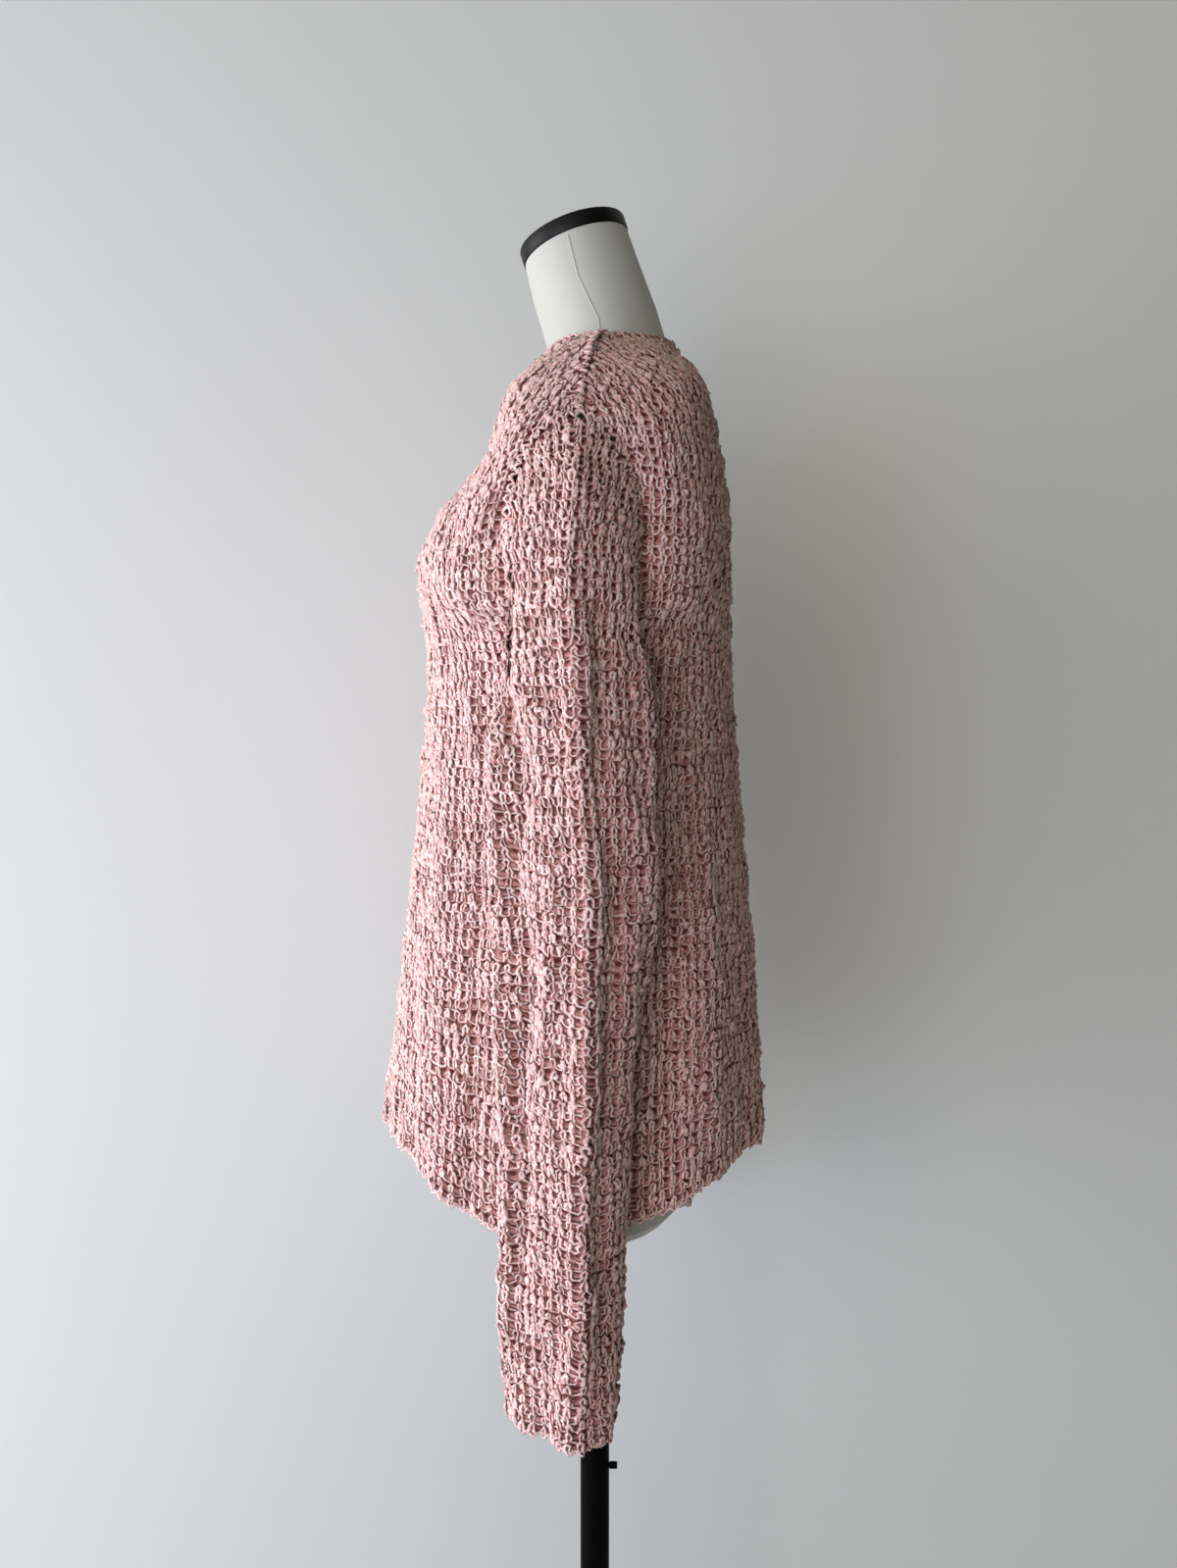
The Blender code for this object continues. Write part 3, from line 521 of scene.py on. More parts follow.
class KnitSurface:
    """The outer surface of a knitted piece, read by row and rib.

    grid and normals have a point for each half row and half rib; the hem or cuff is row 0, and
    rib 0 is the piece's middle line. ends has, for each half row, the ribs at which it starts and
    stops, and between them those at which the neckline cuts it. first_rib is the place of the rib
    nearest the middle, and top the piece's upper edge.
    """

    def __init__(self, grid, normals, ends, first_rib, top):
        self.grid = grid
        self.normals = normals
        self.ends = ends
        self.first_rib = first_rib
        self.top = top
        self.rows = (len(grid) - 1) // 2
        self.middle = (grid.shape[1] - 1) / 2

    def runs(self, row):
        """Stretches of a row, as the ribs at which each starts and stops halfway up the row."""
        start, cut, again, stop = self.ends[2 * row + 1]
        return [(start, stop)] if cut >= again else [(start, cut), (again, stop)]

    def at(self, row, rib, lift):
        """Points at the given rows and ribs, lift metres above the surface."""
        line = np.clip(2.0 * np.asarray(row), -2.0, len(self.grid) + 1.0)
        column = np.clip(2.0 * np.asarray(rib) + self.middle, 0.0, self.grid.shape[1] - 1.0)
        i = np.clip(np.floor(line).astype(int), 0, len(self.grid) - 2)
        j = np.clip(np.floor(column).astype(int), 0, self.grid.shape[1] - 2)
        a = (line - i)[..., None]
        b = (column - j)[..., None]

        def read(values):
            low = values[i, j] * (1.0 - b) + values[i, j + 1] * b
            high = values[i + 1, j] * (1.0 - b) + values[i + 1, j + 1] * b
            return low * (1.0 - a) + high * a

        return read(self.grid) + unit(read(self.normals)) * np.asarray(lift)[..., None]


def heights(net):
    """How far each point of a net is from its first line, measured square to the rows between."""
    height = np.zeros(net.shape[:2])
    for i in range(len(net) - 1):
        across = np.gradient((net[i] + net[i + 1]) / 2, axis=0)
        up = net[i + 1] - net[i]
        across_2, up_2 = (across**2).sum(axis=1), (up**2).sum(axis=1)
        lean = (across * up).sum(axis=1)
        area_2 = np.maximum(across_2 * up_2 - lean**2, 0.0)
        tilt = np.gradient(height[i])
        for _ in range(TILT_PASSES):
            tilt = np.convolve(np.pad(tilt, 1, "edge"), TILT_WEIGHTS, "valid")
        rise = (lean * tilt + np.sqrt(area_2 * np.maximum(across_2 - tilt**2, 0.0))) / across_2
        height[i + 1] = height[i] + np.maximum(rise, LEAST_RISE)
    return height


def laid_out(net, normals, up, pitches, knit, first_rib):
    """The surface of a piece whose rows and ribs keep their distance and end where it is cut.

    up says how far up each point of the net is, and pitches how far apart the ribs are at each of
    its lines: both in metres.
    """
    top = up[-1]
    lines = np.arange(len(net))
    columns = np.arange(net.shape[1])
    middle = net.shape[1] // 2
    most = math.ceil(MOST_RIBS * knit.panel_ribs)
    halves = np.arange(-2 * most, 2 * most + 1) / 2
    grid, turned, ends = [], [], []
    for height in np.arange(0.0, top.max(), knit.row_pitch / 2):
        line = np.array([np.interp(height, up[:, j], lines) for j in columns])
        i = np.minimum(line.astype(int), len(net) - 2)
        part = (line - i)[:, None]
        points, facing = (
            values[i, columns] * (1.0 - part) + values[i + 1, columns] * part
            for values in (net, normals)
        )
        places = travelled(points)
        places = (places - places[middle]) / np.interp(line[middle], lines, pitches)
        whole = np.flatnonzero(top >= height)
        stops = [places[whole[0]], 0.0, 0.0, places[whole[-1]]]
        if top[middle] < height:
            stops[1] = places[whole[whole < middle][-1]]
            stops[2] = places[whole[whole > middle][0]]
        wanted = np.clip(halves, stops[0], stops[-1])
        grid.append(read_at(wanted, places, points))
        turned.append(read_at(wanted, places, facing))
        ends.append(stops)
    return KnitSurface(np.array(grid), unit(np.array(turned)), np.array(ends), first_rib, net[-1])


def panel_surface(name, knit):
    """A panel, whose ribs fan out below the underarm and are cut off by the armholes."""
    flat = panel_net(name, PANEL_SPANS * knit.panel_ribs)
    net = hang(flat, name)
    pitches = steps_between(net, 1).sum(axis=1) / knit.panel_ribs
    under_arm = np.argmax(net[:, 0, 2] > UNDERARM_Z)
    # the cloth is wider across the chest and the shoulder blades, and stretches there
    height = net[under_arm:, net.shape[1] // 2, 2]
    stretch = 1.0 + CHEST_STRETCH * ramp(height, UNDERARM_Z, CHEST_STRETCH_Z)
    pitches[under_arm:] = pitches[under_arm - 1] * stretch
    return laid_out(net, net_normals(net, closed=False), heights(flat), pitches, knit, 0.5)


def sleeve_surface(side, knit):
    """A sleeve from its cuff up, opened at its inner side, with its crease in the middle."""
    net = sleeve_net(side)
    normals = net_normals(net, closed=True)
    # from the crease the rings run round the front; here they run round the back
    half = net.shape[1] // 2
    order = np.arange(half, -half - 1, -1)
    net = net[::-1, order]
    normals = normals[::-1, order]
    pitches = np.full(len(net), knit.rib_pitch)
    return laid_out(net, normals, travelled(net), pitches, knit, 0.0)


def crease(surface, name, rng):
    """Presses a piece's creases, and a slight unevenness all over, into its surface."""
    middle = surface.grid.shape[1] // 2
    up = travelled(surface.grid[:, middle])
    across = travelled(surface.grid, 1)
    across -= across[:, middle:middle + 1]
    up = np.broadcast_to(up[:, None], across.shape)
    lift = sum(height * waves(rng, across, up, over) for height, over in UNEVEN)
    # the free edge flutes a little
    flute = FLUTE * waves(rng, across, 0.0 * up, FLUTE_OVER)
    lift += flute * (1.0 - ramp(up, 0.0, FLUTE_HEIGHT))
    if name == "front":
        inset = 1.0 - np.abs(across) / np.abs(across).max(axis=1, keepdims=True)
        below = CHEST_EASE_TOP_Z - surface.grid[:, :, 2]
        lift -= CHEST_EASE * ramp(inset, 0.0, CHEST_EASE_SIDE) * ramp(below, 0.0, CHEST_EASE_FADE)
    for values in CREASES[name]:
        fold = {column: value / 1000 for column, value in zip(CREASE_COLUMNS, values)}
        start = np.array([fold["start_across"], fold["start_up"]])
        run = np.array([fold["end_across"], fold["end_up"]]) - start
        length = np.linalg.norm(run)
        along = ((across - start[0]) * run[0] + (up - start[1]) * run[1]) / length
        aside = ((across - start[0]) * run[1] - (up - start[1]) * run[0]) / length
        sway = waves(rng, along, 0.0 * along, CREASE_SWAY_OVER, count=3)
        sway = CREASE_SWAY * fold["width"] * sway
        past, within = CREASE_FADE
        ends = ramp(along, -past, within) * (1.0 - ramp(along, length - within, length + past))
        press = CREASE_DEPTH[name] * fold["height"] * ends
        lift += press * np.exp(-(((aside + sway) / fold["width"]) ** 2))
    surface.grid = surface.grid + surface.normals * lift[:, :, None]


def surface_of(name, knit, rng):
    if name in PANEL_SECTIONS:
        surface = panel_surface(name, knit)
    else:
        surface = sleeve_surface(1 if name == "sleeve_left" else -1, knit)
    crease(surface, name, rng)
    return surface


# --- materials ---------------------------------------------------------------------------------
def rgb(hexadecimal):
    """An sRGB hex colour as linear values."""
    values = [int(hexadecimal[i:i + 2], 16) / 255 for i in (0, 2, 4)]
    return tuple(v / 12.92 if v <= 0.04045 else ((v + 0.055) / 1.055) ** 2.4 for v in values)


def rgba(color):
    return (*color[:3], 1.0)


def set_node(tree, node, settings, links):
    """Gives a node its properties and, by input, its values and links.

    A link is a socket, or a node for its first output.
    """
    for key, value in settings.items():
        if isinstance(key, str) and hasattr(node, key):
            setattr(node, key, value)
        else:
            node.inputs[key].default_value = value
    for key, source in links.items():
        socket = source.outputs[0] if hasattr(source, "outputs") else source
        tree.links.new(socket, node.inputs[key])
    return node


def add_node(tree, kind, settings=None, links=None):
    return set_node(tree, tree.nodes.new("ShaderNode" + kind), settings or {}, links or {})


def new_material(name):
    material = bpy.data.materials.new(name)
    material.use_nodes = True
    tree = material.node_tree
    return material, tree, tree.nodes["Principled BSDF"]


def ramp_node(tree, factor, stops):
    """A colour ramp whose stops are (position, linear colour)."""
    node = add_node(tree, "ValToRGB", links={"Fac": factor})
    while len(node.color_ramp.elements) < len(stops):
        node.color_ramp.elements.new(0.5)
    for element, (position, color) in zip(node.color_ramp.elements, stops):
        element.position = position
        element.color = rgba(color)
    return node


def slub_yarn(colors):
    """Slub cotton yarn, loosely spun: matt, soft-edged, its tone uneven at random, with painted
    light on the tops of its curls and painted shade between them.
    """
    material, tree, shader = new_material("slub_cotton_yarn")
    # the yarn's curls, about 2 mm across: their tone varies at random, and they are painted paler on
    # top as painted light and deeper pink between as painted shade
    curls = add_node(tree, "TexNoise", {
        "Scale": 440.0, "Detail": 2.0, "Roughness": 0.60, "Distortion": 0.6,
    }, {"Vector": add_node(tree, "TexCoord").outputs["Object"]})
    tone = ramp_node(tree, curls, (
        (0.38, colors.yarn_deep_tone_and_painted_shade), (0.50, colors.yarn), (0.62, colors.yarn_pale_tone_and_painted_light),
    ))
    bump = add_node(tree, "Bump", {"Strength": 1.0, "Distance": 0.0019}, {"Height": curls})
    # loose fibres spread the light over the yarn, so it is shaded more like the cloth it lies on
    facing = add_node(tree, "Attribute", {"attribute_name": "facing"})
    facing = add_node(tree, "VectorTransform", {
        "vector_type": "NORMAL", "convert_from": "OBJECT", "convert_to": "WORLD",
    }, {"Vector": facing.outputs["Vector"]})
    soft = add_node(tree, "VectorMath", {
        "operation": "MULTIPLY_ADD", 1: (FIBRE_SPREAD, FIBRE_SPREAD, FIBRE_SPREAD),
    }, {0: facing, 2: bump})
    normal = add_node(tree, "VectorMath", {"operation": "NORMALIZE"}, {0: soft})
    # painted shade: a strand's sides, which face its neighbours, are painted a deeper pink for the
    # shaded, reddened light between them
    upright = add_node(tree, "VectorMath", {"operation": "DOT_PRODUCT"}, {
        0: facing, 1: add_node(tree, "NewGeometry").outputs["Normal"],
    })
    between = add_node(tree, "MapRange", {
        "From Min": 0.0, "From Max": 0.7, "To Min": PAINTED_SIDE_SHADE_SHARE, "To Max": 0.0,
    }, {"Value": upright.outputs["Value"]})
    # a mix's inputs 6 and 7 are its two colours, and its output 2 is the mixed one
    painted_side_shade = add_node(tree, "Mix", {
        "data_type": "RGBA", 7: rgba(colors.yarn_painted_side_shade),
    }, {0: between, 6: tone})
    set_node(tree, shader, {
        "Roughness": 0.95, "Specular IOR Level": 0.12,
        "Sheen Weight": 0.25, "Sheen Roughness": 0.55, "Sheen Tint": rgba(rgb("FFCFC4")),
    }, {"Base Color": painted_side_shade.outputs[2], "Normal": normal})
    return material


def knit_ground(name, colors, shade):
    """The purl side of the knit: the same cotton seen deep between the ribs, painted in the given
    shade colour, with painted shade in its holes.
    """
    material, tree, shader = new_material(name)
    mapped = add_node(tree, "UVMap", {"uv_map": "knit"})
    # One unit of the map is a rib across and a row up, and ribs lie on its whole numbers. Each hole
    # is halfway between two ribs and two bridges.
    wobble = add_node(tree, "TexNoise", {"Scale": 1.3, "Detail": 2.0}, {"Vector": mapped})
    shifted = add_node(tree, "VectorMath", {
        "operation": "MULTIPLY_ADD", 1: (0.55, 0.55, 0.0),
    }, {0: wobble.outputs["Color"], 2: mapped})
    # the noise is 0.5 on average, so it moves the map by 0.275; the hole's middle is at 0.5, 0.58
    moved = add_node(tree, "VectorMath", {
        "operation": "SUBTRACT", 1: (0.275, 0.355, 0.0),
    }, {0: shifted})
    cell = add_node(tree, "VectorMath", {"operation": "FRACTION"}, {0: moved})
    centred = add_node(tree, "VectorMath", {"operation": "SUBTRACT", 1: (0.5, 0.5, 0.0)}, {0: cell})
    reach = add_node(tree, "VectorMath", {"operation": "LENGTH"}, {0: centred})
    # painted shade: the holes are painted dark, and around them the ground takes its painted shade
    # colour
    tone = ramp_node(tree, reach.outputs["Value"], (
        (0.16, colors.hole_painted_shade), (0.36, shade), (0.62, colors.yarn_deep_tone_and_painted_shade),
    ))
    bump = add_node(tree, "Bump", {"Strength": 0.8, "Distance": 0.0016}, {
        "Height": reach.outputs["Value"],
    })
    set_node(tree, shader, {"Roughness": 0.95, "Specular IOR Level": 0.15}, {
        "Base Color": tone, "Normal": bump,
    })
    return material


def stretch_jersey(colors):
    """Cotton jersey stretched over the form's shell: smooth, matt, with faint stitch columns."""
    material, tree, shader = new_material("off_white_stretch_jersey")
    place = add_node(tree, "TexCoord").outputs["Object"]
    # columns of the jersey's stitches, 2.4 mm apart, because finer ones would not show
    wales = add_node(tree, "TexWave", {"Scale": 130.0, "Distortion": 2.0, "Detail": 2.0}, {
        "Vector": place,
    })
    shading = add_node(tree, "TexNoise", {"Scale": 14.0, "Detail": 4.0}, {"Vector": place})
    tone = ramp_node(tree, shading, (
        (0.35, colors.jersey_dull), (0.65, colors.jersey),
    ))
    bump = add_node(tree, "Bump", {"Strength": 0.10, "Distance": 0.0003}, {
        "Height": wales.outputs["Fac"],
    })
    set_node(tree, shader, {
        "Roughness": 0.80, "Specular IOR Level": 0.30, "Sheen Weight": 0.15,
    }, {"Base Color": tone, "Normal": bump})
    return material


def black_finish(name, color, roughness, grain_mm, strength, specular):
    """A black finish whose fine grain breaks up its gloss."""
    material, tree, shader = new_material(name)
    grain = add_node(tree, "TexNoise", {"Scale": 1000.0 / grain_mm, "Detail": 3.0}, {
        "Vector": add_node(tree, "TexCoord").outputs["Object"],
    })
    gloss = add_node(tree, "MapRange", {
        "To Min": roughness - SMOOTHER, "To Max": roughness + ROUGHER,
    }, {"Value": grain})
    bump = add_node(tree, "Bump", {"Strength": strength, "Distance": 0.0002}, {"Height": grain})
    set_node(tree, shader, {"Base Color": rgba(color), "Specular IOR Level": specular}, {
        "Roughness": gloss, "Normal": bump,
    })
    return material


# --- objects -----------------------------------------------------------------------------------
def add_object(name, data):
    made = bpy.data.objects.new(name, data)
    bpy.context.scene.collection.objects.link(made)
    return made


def finished_mesh(name, work):
    """A mesh with the shape of a bmesh, which is freed."""
    mesh = bpy.data.meshes.new(name)
    work.to_mesh(mesh)
    work.free()
    return mesh


def add_piece(name, mesh, body, slot, *materials):
    """Links a finished mesh as a piece that rides on a body."""
    piece = add_object(name, mesh)
    for material in materials:
        mesh.materials.append(material)
    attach(piece, body)
    return piece


def rounded_copy(name, body, slot, material):
    """Replaces a solid with its own shape, shaded smooth where it is round."""
    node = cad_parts[name]
    work = bmesh.new()
    work.from_mesh(node.data)
    bmesh.ops.transform(work, matrix=node.matrix_world, verts=work.verts)
    bmesh.ops.remove_doubles(work, verts=work.verts, dist=MERGE_SOLID)
    for face in work.faces:
        face.smooth = True
    for edge in work.edges:
        edge.smooth = edge.is_manifold and edge.calc_face_angle() < ROUND_UP_TO
    title = name + "_finish"
    piece = add_piece(title, finished_mesh(title, work), body, slot, material)
    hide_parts(name)
    return piece


def yarn_mesh(name, strands, sides=3):
    """Yarn as a mesh. Each strand is its points and the yarn's radius at each of them."""
    bevel = bpy.data.curves.new(name + "_section", "CURVE")
    section = bevel.splines.new("POLY")
    section.points.add(sides - 1)
    for order, point in enumerate(section.points):
        angle = 2 * math.pi * order / sides
        point.co = (math.cos(angle), math.sin(angle), 0.0, 1.0)
    section.use_cyclic_u = True
    section_object = add_object(name + "_section", bevel)

    curve = bpy.data.curves.new(name + "_path", "CURVE")
    curve.dimensions = "3D"
    curve.bevel_mode = "OBJECT"
    curve.bevel_object = section_object
    curve.use_fill_caps = True
    for points, radii in strands:
        spline = curve.splines.new("POLY")
        spline.points.add(len(points) - 1)
        places = np.concatenate([points, np.ones((len(points), 1))], axis=1)
        spline.points.foreach_set("co", places.ravel())
        spline.points.foreach_set("radius", np.asarray(radii, float))
        spline.use_smooth = True
    path = add_object(name + "_path", curve)
    shown = path.evaluated_get(bpy.context.evaluated_depsgraph_get())
    mesh = bpy.data.meshes.new_from_object(shown)
    mesh.name = name
    for made in (path, section_object):
        bpy.data.objects.remove(made)
    return mesh


def face_outward(mesh, surface):
    """Gives each point of a piece's yarn the direction in which the cloth under it faces."""
    places = surface.grid.reshape(-1, 3)
    normals = surface.normals.reshape(-1, 3)
    tree = KDTree(len(places))
    for order, place in enumerate(places):
        tree.insert(place, order)
    tree.balance()
    nearest = [tree.find(vertex.co)[1] for vertex in mesh.vertices]
    facing = mesh.attributes.new("facing", "FLOAT_VECTOR", "POINT")
    facing.data.foreach_set("vector", normals[nearest].astype(np.float32).ravel())


def nub_mesh(name, centres, radii, rng):
    """The yarn's curls as a mesh of small round lumps, each turned and stretched its own way."""
    corners = np.array([
        (1, 0, 0), (-1, 0, 0), (0, 1, 0), (0, -1, 0), (0, 0, 1), (0, 0, -1),
    ], float)
    faces = np.array([
        (0, 2, 4), (2, 1, 4), (1, 3, 4), (3, 0, 4), (2, 0, 5), (1, 2, 5), (3, 1, 5), (0, 3, 5),
    ])
    turned = np.linalg.qr(rng.standard_normal((len(centres), 3, 3)))[0]
    turned *= np.sign(np.linalg.det(turned))[:, None, None]
    sizes = radii[:, None, None] * rng.uniform(*CURL_CORNERS, (len(centres), len(corners), 1))
    verts = centres[:, None, :] + corners @ turned * sizes
    mesh = bpy.data.meshes.new(name)
    mesh.from_pydata(
        verts.reshape(-1, 3).tolist(), [],
        (faces + len(corners) * np.arange(len(centres))[:, None, None]).reshape(-1, 3).tolist(),
    )
    mesh.shade_smooth()
    return mesh


def course(surface, row, knit, rng, drift):
    """The yarn of one row of stitches, as strands of points and radii.

    drift has places across the row, and how far the stitches there lie aside and up.
    """
    ribs, aside, above = drift
    stitch = np.array(STITCH)
    strands = []
    for start, stop in surface.runs(row):
        places = np.arange(math.floor(start), math.ceil(stop) + 1) + surface.first_rib
        centres = places[(places >= start + EDGE_GAP) & (places <= stop - EDGE_GAP)]
        if not len(centres):
            continue
        plump = np.clip(rng.normal(1.0, STITCH_SPREAD, len(centres)), *STITCH_LIMITS)
        moved = centres + np.interp(centres, ribs, aside)
        across = (moved[:, None] + stitch[None, :, 0]).ravel()
        across = np.concatenate([[start], across, [stop]])
        up, out, thick = (
            np.pad(np.tile(stitch[:, column], len(centres)), 1, "edge") for column in (1, 2, 3)
        )
        plump = np.pad(np.repeat(plump, len(stitch)), 1, "edge")
        count = len(across)
        across = across + rng.normal(0.0, STRAY_ACROSS, count)
        up = up + np.interp(across, ribs, above) + rng.normal(0.0, STRAY_UP, count)
        lift = knit.ground_lift + knit.rib_height * out * (0.5 + 0.5 * plump)
        lift += rng.normal(0.0, STRAY_OUT, count)
        thick = thick * plump + rng.normal(0.0, STRAY_THICK, count)
        slubs = np.zeros(count)
        for at in np.flatnonzero(rng.random(count) < knit.slub_share):
            reach = rng.integers(*SLUB_REACH)
            size = rng.uniform(*SLUB_SIZES)
            near = np.arange(max(at - reach, 0), min(at + reach + 1, count))
            slubs[near] = np.maximum(slubs[near], size * (1.0 - np.abs(near - at) / (reach + 1.0)))
        radii = knit.yarn_radius * np.clip(thick + slubs, *THICK_LIMITS)
        lift = lift + slubs * knit.yarn_radius * SLUB_LIFT
        strands.append((surface.at(row + up, across, lift), radii))
    return strands


def scallops(surface, knit, rng):
    """The yarn that rounds off each rib at the hem or cuff."""
    start, stop = surface.ends[0, 0], surface.ends[0, -1]
    strands = []
    for low, lift, thick in SCALLOPS:
        across = np.arange(start, stop, SCALLOP_STEP)
        bulge = 0.5 + 0.5 * np.cos(2 * math.pi * (across - surface.first_rib))
        count = len(across)
        up = low * bulge + rng.normal(0.0, SCALLOP_UP, count)
        across = across + rng.normal(0.0, SCALLOP_ACROSS, count)
        uneven = np.clip(1.0 + rng.normal(0.0, SCALLOP_THICK, count), *WIND_LIMITS)
        strands.append((surface.at(up, across, lift * bulge + knit.ground_lift),
                        knit.yarn_radius * thick * uneven))
    return strands


def edge_steps(line, knit):
    """How many steps the yarn along an edge takes."""
    step = knit.rib_pitch / EDGE_POINTS
    return max(math.ceil(steps_between(line).sum() / step), FEWEST_EDGE_POINTS)


def edge_yarn(line, outward, knit, rng, swing, lift, thick):
    """A strand that winds from side to side along an edge, lift above it."""
    count = edge_steps(line, knit)
    points = spaced(line, count)
    outward = unit(np.broadcast_to(np.asarray(outward, float), points.shape))
    aside = unit(np.cross(np.gradient(points, axis=0), outward))
    turn = np.arange(count + 1) * math.pi / 2
    turn = turn + WIND_DRIFT * smooth_noise(rng, count + 1, WIND_OVER)
    swings = swing * np.sin(turn) + rng.normal(0.0, WIND_STRAY, count + 1)
    points = points + aside * swings[:, None]
    points = points + outward * (lift + WIND_LIFT * np.cos(2 * turn))[:, None]
    uneven = np.clip(1.0 + rng.normal(0.0, WIND_THICK, count + 1), *WIND_LIMITS)
    return points, knit.yarn_radius * thick * uneven


def seams(name, surface, knit, rng):
    """Yarn along the neckline and the shoulders of a panel, or round the top of a sleeve."""
    top = surface.top
    if name not in PANEL_SECTIONS:
        edges = [(top, (np.sign(top[0, 0]), 0.0, SLEEVE_TOP_LEAN), SLEEVE_TOP_YARN)]
    else:
        rim = top[np.abs(top[:, 0]) <= NECK_HALF_WIDTH]
        outward = spaced(rim * (1.0, 1.0, 0.0) + (0.0, 0.0, NECK_LEAN), edge_steps(rim, knit))
        edges = [(rim, outward, NECK_YARN)]
    if name == "front":
        for shoulder in (top[top[:, 0] > NECK_HALF_WIDTH], top[top[:, 0] < -NECK_HALF_WIDTH]):
            edges.append((shoulder, (0.0, 0.0, 1.0), SHOULDER_YARN))
    return [
        edge_yarn(line, outward, knit, rng, *yarn)
        for line, outward, yarns in edges for yarn in yarns
    ]


# --- settings ----------------------------------------------------------------------------------
def length_setting(name, description, default, low, high):
    return FloatProperty(
        name=name, description=description, default=default, min=low, max=high, unit="LENGTH",
    )


def share_setting(name, description, default, high):
    return FloatProperty(
        name=name, description=description, default=default, min=0.0, max=high, subtype="FACTOR",
    )


def light_setting(name, description, default):
    return FloatProperty(name=name, description=description, default=default, min=0.0)


def color_setting(name, description, hexadecimal):
    return FloatVectorProperty(
        name=name, description=description, default=rgb(hexadecimal), size=3,
        min=0.0, max=1.0, subtype="COLOR",
    )


class SweaterKnit(bpy.types.PropertyGroup):
    panel_ribs: IntProperty(
        name="Panel Ribs", description="Ribs across the front, and across the back",
        default=66, min=12, max=120,
    )
    row_pitch: length_setting("Row Pitch", "Height of a row of stitches", 0.0064, 0.003, 0.02)
    rib_pitch: length_setting(
        "Rib Pitch", "Distance between two ribs of a sleeve", 0.0074, 0.004, 0.02,
    )
    rib_height: length_setting(
        "Rib Height", "How far a rib stands above the bridges beside it", 0.0015, 0.0, 0.004,
    )
    ground_lift: length_setting(
        "Ground Lift", "How far the bridges lie above the cloth's surface", -0.0004, -0.003, 0.003,
    )
    yarn_radius: length_setting(
        "Yarn Radius", "Half of the yarn's usual thickness", 0.00096, 0.0003, 0.003,
    )
    slub_share: share_setting(
        "Slub Share", "Share of the yarn's points at which a slub starts", 0.030, 0.3,
    )
    curl_share: share_setting(
        "Curl Share", "Share of the yarn's points from which a curl stands out", 0.13, 0.5,
    )
    seed: IntProperty(
        name="Seed", description="Starting value of the yarn's unevenness", default=7, min=0,
    )


class SweaterColors(bpy.types.PropertyGroup):
    yarn: color_setting("Yarn", "The yarn's usual pink", "F7D6D2")
    # painted light: the paler pink on the tops of the yarn's curls, over its random tone
    yarn_pale_tone_and_painted_light: color_setting("Pale Yarn", "The yarn on top of its curls", "FDE8E5")
    # painted shade: the deeper pink between the yarn's curls and at the edges of the ground's cells,
    # over its random tone
    yarn_deep_tone_and_painted_shade: color_setting("Deep Yarn", "The yarn between its curls", "E2ACA4")
    # painted shade: the deeper pink painted on the yarn's sides, next to other yarn
    yarn_painted_side_shade: color_setting("Yarn Between", "The yarn's sides, next to other yarn", "D98A82")
    # painted shade: the outer ground is the yarn's cotton painted darker for the shade deep between
    # two ribs
    ground: color_setting("Ground", "The knit seen deep between two ribs", "B17972")
    hole_painted_shade: color_setting("Holes", "The shade inside the knit's holes", "683832")
    jersey: color_setting("Jersey", "The form's cover", "C6C6C1")
    jersey_dull: color_setting("Dull Jersey", "The form's cover where it is handled", "C1C1BA")
    plastic: color_setting("Plastic", "The plate on the neck", "0D0D0E")
    steel: color_setting("Steel", "The stand's powder coat", "030303")
    wall: color_setting("Wall", "The painted wall behind the object", "DADBD9")


class SweaterStage(bpy.types.PropertyGroup):
    eye_distance: length_setting(
        "Eye Distance", "Distance of the camera from the pole's axis", 1.0, 0.3, 5.0,
    )
    eye_height: length_setting(
        "Eye Height", "Height of the camera over the floor", 1.06, 0.1, 3.0,
    )
    eye_tilt: FloatProperty(
        name="Eye Tilt", description="How far the camera looks down",
        default=math.radians(2.4), subtype="ANGLE",
    )
    wall_distance: length_setting(
        "Wall Distance", "Distance of the wall behind the pole's axis", 0.34, 0.3, 3.0,
    )
    window_power: light_setting("Window Power", "Power of the window's light, in watts", 55.0)
    sky_power: light_setting(
        "Sky Power", "Power of the bluish light from the camera's side, in watts", 28.0,
    )
    fill_power: light_setting(
        "Fill Power", "Power of the weak light off the room's far side, in watts", 11.0,
    )
    room_light: light_setting(
        "Room Light", "Strength of the room's light on the window's side", 0.72,
    )
    room_shade: light_setting(
        "Room Shade", "Strength of the room's light on the other side", 0.02,
    )


